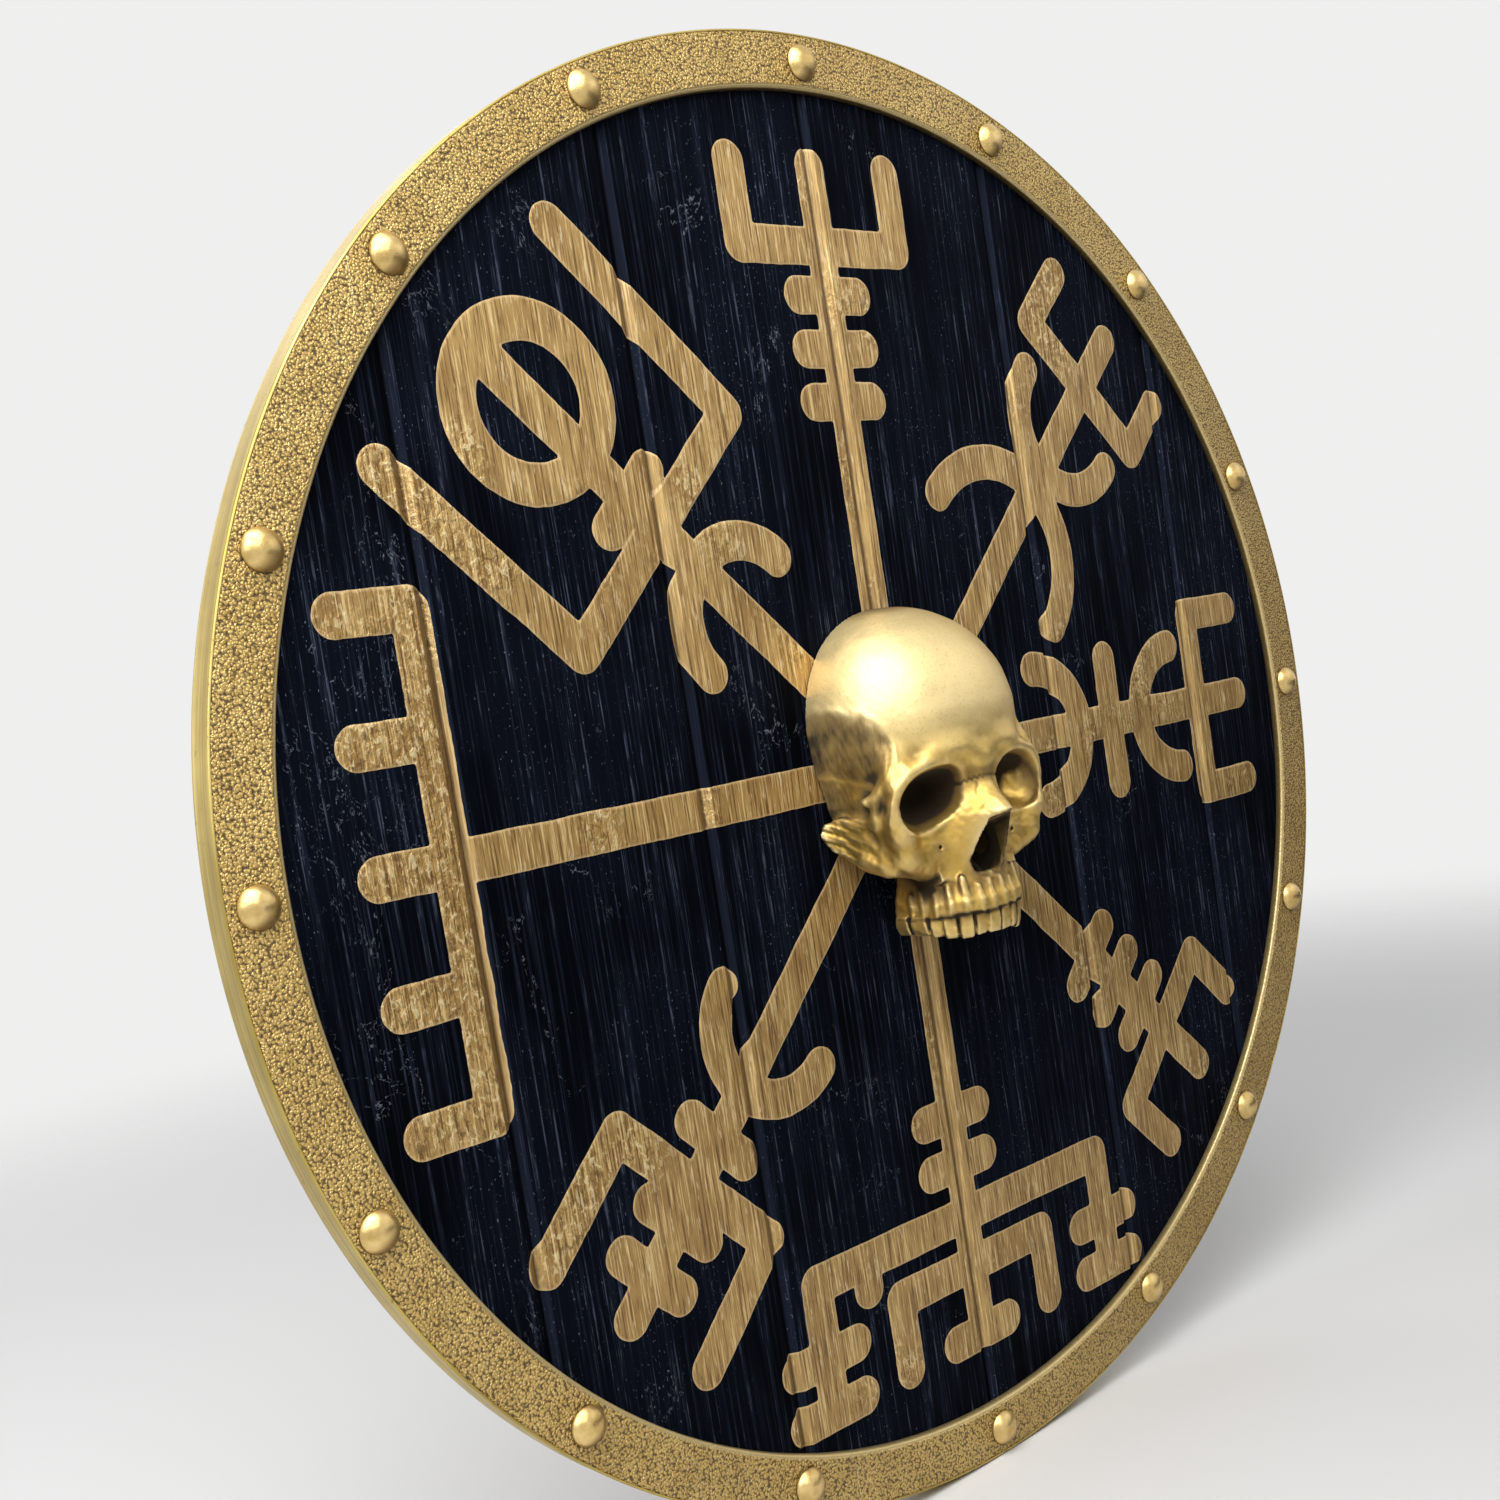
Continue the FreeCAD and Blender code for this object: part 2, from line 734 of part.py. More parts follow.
def grip_block(side):
    centre = side * block_centre()
    half = block_width / 2
    block = box(centre - half, centre + half, board_back, -grip_depth, -block_height / 2, block_height / 2)
    edges = [edge for edge in block.Edges if edge.BoundBox.YLength > finger_gap / 2]
    block = block.makeFillet(batten_edge_radius, edges)
    hole = screw_diameter / 2 + screw_hole_gap
    holes = [rod(x, z, hole, board_back - overrun, overrun) for x, z in grip_screw_places()]
    return block.cut(Part.makeCompound(holes))


def grip_screws():
    return screws(grip_screw_places(), -grip_counterbore_depth, board_back - screw_reach)


# Hanger
def hanger_axis():
    """How far behind the origin plane the ring's leg lies."""
    plate_back = board_back + hanger_plate_thickness
    return plate_back + hanger_ring_standoff + hanger_wire_diameter / 2


def hanger_plate_middle():
    sleeve = hanger_wire_diameter / 2 + hanger_running_gap + hanger_sleeve_wall
    return hanger_height + (hanger_plate_width - sleeve) / 2


def hanger_plate():
    """A plate on the boards with a rolled sleeve along its lower edge."""
    half = hanger_plate_length / 2
    bore = hanger_wire_diameter / 2 + hanger_running_gap
    outer = bore + hanger_sleeve_wall
    bottom = hanger_height
    top = hanger_height + hanger_plate_width - outer
    plate_back = board_back + hanger_plate_thickness
    plate = box(-half, half, board_back, plate_back, bottom, top)
    upright = [edge for edge in plate.Edges if edge.BoundBox.YLength > hanger_plate_thickness / 2]
    plate = plate.makeFillet(batten_edge_radius, upright)
    reach = hanger_sleeve_length / 2
    axis_start = vec(-reach, hanger_axis(), hanger_height)
    sleeve = Part.makeCylinder(outer, hanger_sleeve_length, axis_start, vec(1, 0, 0))
    in_front = box(-half, half, board_back - shield_radius, board_back, 0, shield_radius)
    sleeve = sleeve.cut(in_front)
    far_start = vec(-half, hanger_axis(), hanger_height)
    bore_rod = Part.makeCylinder(bore, hanger_plate_length, far_start, vec(1, 0, 0))
    hole = screw_diameter / 2 + screw_hole_gap
    holes = [rod(x, z, hole, board_back - overrun, overrun) for x, z in hanger_screw_places()]
    whole = fused([plate, sleeve])
    return whole.cut(Part.makeCompound(holes + [bore_rod]))


def hanger_ring():
    """A D-shaped ring of round wire, its straight leg in the sleeve, hanging down."""
    radius = hanger_wire_diameter / 2
    half = hanger_ring_inner_width / 2 + radius
    y = hanger_axis()
    top = hanger_height
    turn = hanger_ring_corner
    low = top - turn - hanger_ring_leg
    bend = turn * (1 - math.sqrt(0.5))
    path = [line((-half + turn, y, top), (half - turn, y, top))]
    path.append(arc((half - turn, y, top), (half - bend, y, top - bend), (half, y, top - turn)))
    path.append(line((half, y, top - turn), (half, y, low)))
    path.append(arc((half, y, low), (0, y, low - half), (-half, y, low)))
    path.append(line((-half, y, low), (-half, y, top - turn)))
    path.append(arc((-half, y, top - turn), (-half + bend, y, top - bend), (-half + turn, y, top)))
    section = Part.Wire(Part.makeCircle(radius, vec(-half + turn, y, top), vec(1, 0, 0)))
    return Part.Wire(path).makePipeShell([section], True, False)


def hanger_screws():
    return screws(hanger_screw_places(), board_back + hanger_plate_thickness, board_back - screw_reach)


def main():
    os.makedirs("parts", exist_ok=True)
    for index, board in enumerate(boards()):
        save("board_" + str(index + 1), [board])
    save("rim_ring", [rim_ring()])
    save("edge_band", [edge_band()])
    save("rim_rivets", copies(rivet(), rivet_places()))
    rove_hole = rivet_shank_diameter / 2 + rivet_hole_gap
    rove = washer(rove_diameter, rove_thickness, rove_hole, board_back)
    save("rivet_roves", copies(rove, rivet_places()))
    sheet = gilding_sheet()
    arms = (
        ("stave_east", east_arm_shares()),
        ("stave_north_east", north_east_arm_shares()),
        ("stave_north", north_arm_shares()),
        ("stave_north_west", north_west_arm_shares()),
        ("stave_west", west_arm_shares()),
        ("stave_south_west", south_west_arm_shares()),
        ("stave_south", south_arm_shares()),
        ("stave_south_east", south_east_arm_shares()),
    )
    for index, (name, strokes) in enumerate(arms):
        bearing = full_turn * index / len(arms)
        save(name, [stave_arm(strokes, bearing, sheet)])
    save("skull_boss", [skull()])
    save("skull_screws", skull_screws())
    washer_hole = screw_diameter / 2 + screw_hole_gap
    skull_washer = washer(skull_washer_diameter, skull_washer_thickness, washer_hole, board_back)
    save("skull_washers", copies(skull_washer, skull_screw_places()))
    save("batten_upper", [batten(1)])
    save("batten_lower", [batten(-1)])
    save("batten_screws", batten_screws())
    save("grip_bar", [grip_bar()])
    save("grip_block_left", [grip_block(-1)])
    save("grip_block_right", [grip_block(1)])
    save("grip_screws", grip_screws())
    save("hanger_plate", [hanger_plate()])
    save("hanger_ring", [hanger_ring()])
    save("hanger_screws", hanger_screws())


main()
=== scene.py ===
import math

import bmesh
import bpy
import numpy as np
from mathutils import Matrix, Vector


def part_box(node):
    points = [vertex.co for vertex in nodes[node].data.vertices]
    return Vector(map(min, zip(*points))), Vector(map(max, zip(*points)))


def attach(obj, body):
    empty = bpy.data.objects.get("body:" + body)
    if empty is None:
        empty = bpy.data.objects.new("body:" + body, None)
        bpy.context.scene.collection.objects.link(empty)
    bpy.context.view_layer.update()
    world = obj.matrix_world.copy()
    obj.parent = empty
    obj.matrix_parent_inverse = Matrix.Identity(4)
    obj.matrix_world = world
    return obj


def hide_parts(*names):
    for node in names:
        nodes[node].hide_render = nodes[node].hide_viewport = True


# A round boarded shield, gilt rim and studs, a gilt stave figure and a cast skull.
# Metres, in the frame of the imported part; the skull is worked in millimetres of its own.

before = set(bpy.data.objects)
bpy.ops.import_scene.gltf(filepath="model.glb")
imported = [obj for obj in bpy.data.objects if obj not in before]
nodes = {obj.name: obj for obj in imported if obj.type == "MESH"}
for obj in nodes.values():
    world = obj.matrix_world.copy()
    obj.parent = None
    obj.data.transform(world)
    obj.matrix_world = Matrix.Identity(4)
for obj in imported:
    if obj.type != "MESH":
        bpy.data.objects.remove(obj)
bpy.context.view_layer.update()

# ---------------------------------------------------------------- sizes from the frame
shield_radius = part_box("edge_band")[1].x
ring_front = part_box("rim_ring")[0].y
board_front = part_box("board_3")[0].y
board_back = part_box("board_3")[1].y
stave_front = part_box("stave_west")[0].y
seam_places = [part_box("board_%d" % number)[0].x for number in range(2, 7)]
board_pitch = seam_places[1] - seam_places[0]
ring_radii = [math.hypot(v.co.x, v.co.z) for v in nodes["rim_ring"].data.vertices]
field_radius = min(ring_radii)
board_radius = max(ring_radii)
stud_circle = (field_radius + shield_radius) / 2

millimetre = 0.001
vee_width = 3.5 * millimetre
vee_depth = 2.5 * millimetre
quarter_turn = math.pi / 2


# ---------------------------------------------------------------- meshes
def ripples(points, wavelength, seed):
    """An even ripple over points in space, about -1 to 1."""
    rng = np.random.default_rng(seed)
    total = np.zeros(len(points))
    waves = 14
    for _ in range(waves):
        direction = rng.normal(size=3)
        direction *= rng.uniform(0.6, 1.5) / np.linalg.norm(direction)
        total += np.sin(points @ direction * (2 * math.pi / wavelength) + rng.uniform(0, 2 * math.pi))
    return total / math.sqrt(waves)


def mesh_object(name, points, faces, material, smooth=True):
    mesh = bpy.data.meshes.new(name)
    mesh.from_pydata([tuple(p) for p in points], [], [tuple(f) for f in faces])
    mesh.materials.append(material)
    mesh.polygons.foreach_set("use_smooth", [smooth] * len(mesh.polygons))
    mesh.update()
    made = bpy.data.objects.new(name, mesh)
    bpy.context.scene.collection.objects.link(made)
    return made


def point_values(made, name, values):
    """A number at each point of a mesh, for its material to read."""
    attribute = made.data.attributes.new(name, "FLOAT", "POINT")
    attribute.data.foreach_set("value", np.asarray(values, np.float32))


def turned_mesh(name, outline, steps, material, closed=True, gap=0.0):
    """A section of radius and place pairs, turned about the Y axis.

    A gap, in radians, leaves two flat ends at the bottom. An outline that isn't closed
    starts and ends on the axis.
    """
    rows = len(outline)
    columns = steps + 1 if gap else steps
    start = math.pi + gap / 2 if gap else 0.0
    points, faces = [], []
    for step in range(columns):
        angle = start + (2 * math.pi - gap) * step / steps
        points += [(radius * math.sin(angle), place, radius * math.cos(angle)) for radius, place in outline]
    for step in range(steps):
        near, far = step * rows, (step + 1) % columns * rows
        for row in range(rows if closed else rows - 1):
            above = (row + 1) % rows
            faces.append((near + row, near + above, far + above, far + row))
    if gap:
        faces += [tuple(range(rows)), tuple(reversed(range(steps * rows, columns * rows)))]
    made = mesh_object(name, points, faces, material)
    merge_and_face_out(made)
    return made


def merge_and_face_out(made):
    """Merges doubled points and turns every face outward."""
    work = bmesh.new()
    work.from_mesh(made.data)
    bmesh.ops.remove_doubles(work, verts=work.verts, dist=2e-6)
    bmesh.ops.dissolve_degenerate(work, edges=work.edges, dist=1e-7)
    bmesh.ops.recalc_face_normals(work, faces=work.faces)
    work.to_mesh(made.data)
    work.free()


# ---------------------------------------------------------------- finishes
class Wire:
    """A socket of a node tree, so that sums on it can be written out."""

    def __init__(self, tree, socket):
        self.tree = tree
        self.socket = socket

    def sum_of(self, operation, *values):
        return self.tree.node("ShaderNodeMath", {"operation": operation}, dict(enumerate(values)))

    def __add__(self, other):
        return self.sum_of("ADD", self, other)

    def __radd__(self, other):
        return self.sum_of("ADD", other, self)

    def __sub__(self, other):
        return self.sum_of("SUBTRACT", self, other)

    def __rsub__(self, other):
        return self.sum_of("SUBTRACT", other, self)

    def __mul__(self, other):
        return self.sum_of("MULTIPLY", self, other)

    def __rmul__(self, other):
        return self.sum_of("MULTIPLY", other, self)

    def __truediv__(self, other):
        return self.sum_of("DIVIDE", self, other)

    def __pow__(self, other):
        return self.sum_of("POWER", self, other)

    def floor(self):
        return self.sum_of("FLOOR", self)

    def size(self):
        return self.sum_of("ABSOLUTE", self)

    def between(self, low, high, first=0.0, last=1.0):
        """Runs smoothly from first at low to last at high."""
        sockets = {"Value": self, "From Min": low, "From Max": high, "To Min": first, "To Max": last}
        return self.tree.node("ShaderNodeMapRange", {"interpolation_type": "SMOOTHSTEP"}, sockets)


class Tree:
    """A node tree that is being made up."""

    def __init__(self, tree):
        self.tree = tree

    @staticmethod
    def find(sockets, key):
        if isinstance(key, int):
            return sockets[key]
        for socket in sockets:
            if key in (socket.identifier, socket.name):
                return socket
        raise KeyError(key)

    def node(self, kind, settings=None, sockets=None, output=0):
        """A node of any kind: its settings first, then the values or links of its sockets."""
        made = self.tree.nodes.new(kind)
        for name, value in (settings or {}).items():
            setattr(made, name, value)
        for key, value in (sockets or {}).items():
            socket = self.find(made.inputs, key)
            if isinstance(value, Wire):
                self.tree.links.new(value.socket, socket)
            else:
                socket.default_value = value
        return Wire(self, self.find(made.outputs, output))

    def blend(self, share, first, second):
        """A colour between two others."""
        sockets = {"Factor_Float": share, "A_Color": opaque(first), "B_Color": opaque(second)}
        return self.node("ShaderNodeMix", {"data_type": "RGBA"}, sockets, "Result_Color")

    def coats(self, colour, *coats):
        """Lays further colours over a first one, each by its own share."""
        for share, coat in coats:
            colour = self.blend(share, colour, coat)
        return colour

    def looked_at(self):
        """One for a ray that shows a surface in the picture, in a gloss or through glass."""
        rays = [self.node("ShaderNodeLightPath", output="Is %s Ray" % kind)
                for kind in ("Camera", "Glossy", "Transmission")]
        return (rays[0] + rays[1] + rays[2]).between(0.0, 1.0)


class Finish(Tree):
    """A material that is being made up: its tree, its shader and the place on the piece."""

    def __init__(self, name, **fixed):
        self.material = bpy.data.materials.new(name)
        self.material.use_nodes = True
        super().__init__(self.material.node_tree)
        self.shader = self.tree.nodes["Principled BSDF"]
        self.place = self.node("ShaderNodeTexCoord", output="Object")
        for socket, value in fixed.items():
            self.shader.inputs[socket.replace("_", " ")].default_value = value

    def stretched(self, place, scale, turn=(0.0, 0.0, 0.0)):
        """A place scaled by its own share each way, so that a pattern on it is drawn out."""
        return self.node("ShaderNodeMapping", None, {"Vector": place, "Scale": scale, "Rotation": turn})

    def cloud(self, place, scale, detail=2.0, roughness=0.5, twist=0.0):
        """Soft noise; a scale of three numbers draws it out."""
        if isinstance(scale, tuple):
            place, scale = self.stretched(place, scale), 1.0
        sockets = {"Vector": place, "Scale": scale, "Detail": detail, "Roughness": roughness,
                   "Distortion": twist}
        return self.node("ShaderNodeTexNoise", None, sockets)

    def cells(self, place, scale):
        """How far each place lies from the nearest of scattered middles."""
        return self.node("ShaderNodeTexVoronoi", None, {"Vector": place, "Scale": scale}, "Distance")

    def axes(self):
        split = self.node("ShaderNodeSeparateXYZ", None, {"Vector": self.place}, "X").socket.node
        return [Wire(self, split.outputs[name]) for name in ("X", "Y", "Z")]

    def point(self, x, y, z):
        return self.node("ShaderNodeCombineXYZ", None, {"X": x, "Y": y, "Z": z})

    def painted(self, name):
        """A number that was stored at the mesh's points."""
        return self.node("ShaderNodeAttribute", {"attribute_name": name}, None, "Fac")

    def relief(self, height, depth):
        return self.node("ShaderNodeBump", None, {"Height": height, "Distance": depth})

    def done(self, **links):
        for name, wire in links.items():
            self.tree.links.new(wire.socket, self.shader.inputs[name.replace("_", " ")])
        return self.material


def opaque(colour):
    return colour if isinstance(colour, Wire) else (*colour, 1.0)


def board_grain(finish):
    """A board's number, whether it is the left one, and a place that jumps from board to board."""
    x, y, z = finish.axes()
    board = (x / board_pitch + 3).floor()
    drift = finish.cloud(finish.place, (9, 9, 5), 1.0) * 0.004
    return board, 1 - board.between(0.3, 0.9), finish.point(x + drift + board * 0.37, y, z + board * 1.31)


def seam_sides(finish):
    """The bottom of the V between two boards, its left bevel and its right bevel, which the finishes paint with
    shade and with a highlight.
    """
    x = finish.axes()[0]
    shifted = x / board_pitch + 0.5
    off_seam = (shifted - shifted.floor() - 0.5) * board_pitch
    bottom_half, top, blur = 0.2 * millimetre, vee_width * 0.86, 0.6 * millimetre
    bottom = off_seam.size().between(bottom_half, 0.9 * millimetre, 1.0, 0.0)
    left = off_seam.between(-vee_width, -top) * off_seam.between(-blur, 0.0, 1.0, 0.0)
    right = off_seam.between(0.0, blur) * off_seam.between(top, vee_width, 1.0, 0.0)
    return bottom, left, right


def stained_boards():
    """Near-black blue stain on combed boards, with painted highlights as small dashes and glints, a few cracks,
    bare wood behind.
    """
    finish = Finish("stained_boards", Specular_IOR_Level=0.02)
    board, left_board, grain = board_grain(finish)
    y = finish.axes()[1]
    bottom, left, right = seam_sides(finish)
    comb = finish.cloud(grain, (1000, 1000, 13), 3.0, 0.62)
    breaks = finish.cloud(grain, (480, 480, 85), 2.0, 0.6)
    patches = finish.cloud(grain, (17, 17, 9), 3.0, 0.6)
    specks = finish.cloud(grain, (1300, 1300, 620), 1.0)
    crack = finish.cloud(grain, (26, 26, 19), 6.0, 0.62, 0.5)
    flaky = (finish.cloud(grain, (14, 14, 12), 3.0, 0.6) + left_board * 0.09).between(0.56, 0.66)
    flakes = finish.cloud(grain, (900, 900, 500), 2.0, 0.6).between(0.46, 0.60)
    cracked = (crack - 0.5).size().between(0.0016, 0.0060, 1.0, 0.0) * flaky * flakes
    ridge = comb.between(0.46, 0.66)
    sheen_dash = comb.between(0.55, 0.66) * breaks.between(0.47, 0.62) * patches.between(0.30, 0.58)
    glint = specks.between(0.69, 0.75) * patches.between(0.44, 0.62)
    stain = finish.coats(
        (0.0008, 0.0010, 0.0022),
        (patches.between(0.34, 0.64), (0.0034, 0.0050, 0.0105)),
        (ridge * 0.6, (0.014, 0.020, 0.037)),
        # painted highlights: pale dashes along the combed ridges, then small glints
        (sheen_dash * 0.75, (0.095, 0.112, 0.165)),
        (glint * 0.7, (0.26, 0.30, 0.38)),
        (cracked * 0.6, (0.22, 0.25, 0.31)),
        # painted shade on each seam's left bevel and a painted highlight on its right bevel, which faces the
        # light
        (left * 0.6, (0.0010, 0.0014, 0.0030)),
        (right * (0.2 + sheen_dash * 0.8), (0.045, 0.060, 0.105)),
        (bottom * 0.9, (0.0006, 0.0008, 0.0015)))
    wood = finish.cloud(grain, (260, 260, 5), 4.0, 0.62)
    rings = finish.cloud(grain, (28, 28, 1.6), 2.0, 0.5, 0.6)
    each = finish.cloud(finish.point(board * 7.3, board * 2.1, 0.5), 1.0, 0.0)
    bare = finish.coats(
        (0.30, 0.185, 0.095),
        (wood.between(0.3, 0.72), (0.12, 0.065, 0.03)),
        (rings.between(0.45, 0.75) * 0.55, (0.10, 0.052, 0.024)),
        (each.between(0.35, 0.65) * 0.5, (0.40, 0.26, 0.14)),
        (bottom * 0.85, (0.020, 0.011, 0.006)))
    behind = y.between(board_front + 4.0 * millimetre, board_front + 4.6 * millimetre)
    normal = finish.relief(comb * 0.8 + cracked * 0.6 + wood * behind * 0.4, 0.35 * millimetre)
    rough = 0.62 - sheen_dash * 0.2 - cracked * 0.2 + behind * 0.1
    return finish.done(Base_Color=finish.blend(behind, stain, bare), Roughness=rough, Normal=normal)


def gilt_paint():
    """Gold paint brushed over the combed grain, like crumpled leaf on the left board, its crinkles given
    painted highlights and painted shade.
    """
    finish = Finish("gilt_paint")
    _, left_board, grain = board_grain(finish)
    bottom, left, right = seam_sides(finish)
    comb = finish.cloud(grain, (1350, 1350, 46), 3.0, 0.6)
    dabs = finish.cloud(grain, (620, 620, 90), 3.0, 0.6)
    mottle = finish.cloud(grain, (60, 60, 30), 4.0, 0.6)
    crumple = finish.cloud(grain, (430, 430, 290), 4.0, 0.62, 0.6)
    leafy = (finish.cloud(grain, (15, 15, 13), 2.0, 0.6) + left_board * 0.17).between(0.52, 0.66)
    edge = finish.painted("inset").between(0.1, 1.2, 1.0, 0.0)
    colour = finish.coats(
        (0.38, 0.220, 0.064),
        (mottle.between(0.3, 0.7), (0.53, 0.330, 0.108)),
        (comb.between(0.36, 0.47, 0.9, 0.0), (0.16, 0.080, 0.022)),
        (comb.between(0.54, 0.64) * 0.75, (0.90, 0.66, 0.30)),
        (dabs.between(0.60, 0.70) * 0.55, (0.96, 0.78, 0.46)),
        # painted highlights on the leaf's crinkles, then painted shade in their folds
        (leafy * crumple.between(0.54, 0.64) * 0.7, (0.96, 0.78, 0.42)),
        (leafy * crumple.between(0.37, 0.45, 1.0, 0.0) * 0.7, (0.17, 0.095, 0.03)),
        # painted shade on each seam's left bevel and a painted highlight on its right bevel, which faces the
        # light
        (left * 0.75, (0.20, 0.11, 0.030)),
        (right * 0.25, (0.70, 0.50, 0.22)),
        (bottom * 0.8, (0.10, 0.052, 0.015)),
        (edge * 0.5, (0.86, 0.62, 0.32)))
    normal = finish.relief(comb * 0.5 + dabs * 0.35 + leafy * crumple * 1.4, 0.6 * millimetre)
    rough = 0.40 - leafy * 0.08
    metal = 0.30 + leafy * 0.3 - left * 0.2
    return finish.done(Base_Color=colour, Roughness=rough, Metallic=metal, Normal=normal)


def gilt_hide():
    """Pebbled hide under gilding, scratched across, its inner edge rubbed smooth, with painted highlights on
    the pebbles' tops and painted shade toward the right and on the inner wall.
    """
    finish = Finish("gilt_hide")
    x, y, z = finish.axes()
    radius = (x * x + z * z) ** 0.5
    bent = finish.cloud(finish.place, 420, 2.0, 0.5) * 0.0016
    place = finish.point(x + bent, y, z - bent)
    pebble = finish.cells(place, 880)
    small = finish.cells(place, 1700)
    waver = finish.cloud(finish.place, 170, 2.0, 0.6)
    grain = (1 - pebble) * 0.85 + (1 - small) * 0.22 + (waver - 0.5) * 0.16
    rubbed = radius.between(field_radius + 1.1 * millimetre, field_radius + 2.1 * millimetre, 1.0, 0.0)
    shaded_inner_wall = rubbed * y.between(ring_front + 0.8 * millimetre, ring_front + 1.8 * millimetre)
    slanted = finish.stretched(finish.place, (900, 900, 18), turn=(0.0, 0.9, 0.0))
    scratch = finish.cloud(slanted, 1.0, 1.0).between(0.70, 0.76)
    scratch = scratch * finish.cloud(finish.place, 22, 1.0).between(0.5, 0.62)
    tone = finish.cloud(finish.place, 30, 3.0, 0.6)
    colour = finish.coats(
        (0.57, 0.370, 0.100),
        (tone.between(0.3, 0.7), (0.73, 0.50, 0.160)),
        (grain.between(0.30, 0.56, 0.95, 0.0), (0.12, 0.070, 0.018)),
        # painted shade, deepening toward the right of the ring and a little more below
        ((x - z * 0.3).between(0.02, 0.30, 0.0, 0.45) * (tone + 0.4), (0.28, 0.165, 0.040)),
        # painted highlights on the pebbles' tops
        (grain.between(0.66, 0.92) * 0.6, (0.98, 0.82, 0.44)),
        (scratch * 0.6, (0.98, 0.86, 0.56)),
        (rubbed * 0.85, (0.70, 0.54, 0.25)),
        # painted shade on the ring's inner wall, deepest toward the upper right
        (shaded_inner_wall * (0.3 + (x + z).between(0.0, 0.25, 0.0, 0.5)), (0.16, 0.10, 0.03)))
    normal = finish.relief(grain * (1 - rubbed) * (1 - scratch * 0.5), 0.8 * millimetre)
    rough = 0.36 - rubbed * 0.06
    metal = 0.50 - grain.between(0.30, 0.62, 0.3, 0.0)
    return finish.done(Base_Color=colour, Roughness=rough, Metallic=metal, Normal=normal)


def edge_brass():
    """Smooth gilt band with fine lines that run along it and a few dark specks."""
    finish = Finish("edge_brass")
    x, y, z = finish.axes()
    lines = finish.cloud(finish.point(x * 12, y * 1500, z * 12), 1.0, 2.0, 0.6)
    streaks = finish.cloud(finish.point(x * 5, y * 330, z * 5), 1.0, 3.0, 0.6)
    tone = finish.cloud(finish.place, 35, 3.0, 0.6)
    specks = finish.cloud(finish.place, 420, 2.0, 0.5).between(0.68, 0.74)
    colour = finish.coats(
        (0.44, 0.318, 0.068),
        (tone.between(0.3, 0.7), (0.57, 0.430, 0.120)),
        (streaks.between(0.50, 0.66) * 0.6, (0.27, 0.185, 0.045)),
        (streaks.between(0.34, 0.46, 0.6, 0.0), (0.78, 0.64, 0.27)),
        (lines.between(0.5, 0.7) * 0.5, (0.30, 0.20, 0.06)),
        (specks * 0.6, (0.25, 0.14, 0.04)))
    normal = finish.relief(lines * 0.4 + tone * 0.6, 0.3 * millimetre)
    rough = 0.34 + lines * 0.1
    metal = 0.80 - specks * 0.2
    return finish.done(Base_Color=colour, Roughness=rough, Metallic=metal, Normal=normal)


def stud_gold():
    """Satin gold of the studs, with painted shade on the lower right of each head and a painted shadow where a
    head meets the rim.
    """
    finish = Finish("stud_gold")
    tone = finish.cloud(finish.place, 180, 3.0, 0.6)
    pits = finish.cloud(finish.place, 900, 2.0, 0.5).between(0.68, 0.75)
    down_and_right = (0.62, 0.0, -0.78)
    facing = finish.node("ShaderNodeNewGeometry", output="Normal")
    downward = finish.node("ShaderNodeVectorMath", {"operation": "DOT_PRODUCT"},
                           {0: facing, 1: down_and_right}, "Value")
    # painted shade on the part of each head that faces down and to the right, away from the light
    shaded_side = (downward + (tone - 0.5) * 0.3).between(0.08, 0.62)
    # painted shadow where the head sits on the rim
    contact_shadow = finish.axes()[1].between(ring_front - 0.9 * millimetre, ring_front - 0.2 * millimetre)
    colour = finish.coats(
        (0.60, 0.41, 0.14),
        (tone.between(0.3, 0.7), (0.78, 0.57, 0.24)),
        (pits * 0.5, (0.25, 0.14, 0.05)),
        (shaded_side * 0.8, (0.24, 0.14, 0.035)),
        (contact_shadow * 0.7, (0.10, 0.058, 0.016)))
    normal = finish.relief(tone + pits * -0.3, 0.2 * millimetre)
    rough = 0.24 + tone * 0.10 + shaded_side * 0.1
    metal = 0.85 - pits * 0.2 - shaded_side * 0.25
    return finish.done(Base_Color=colour, Roughness=rough, Metallic=metal, Normal=normal)


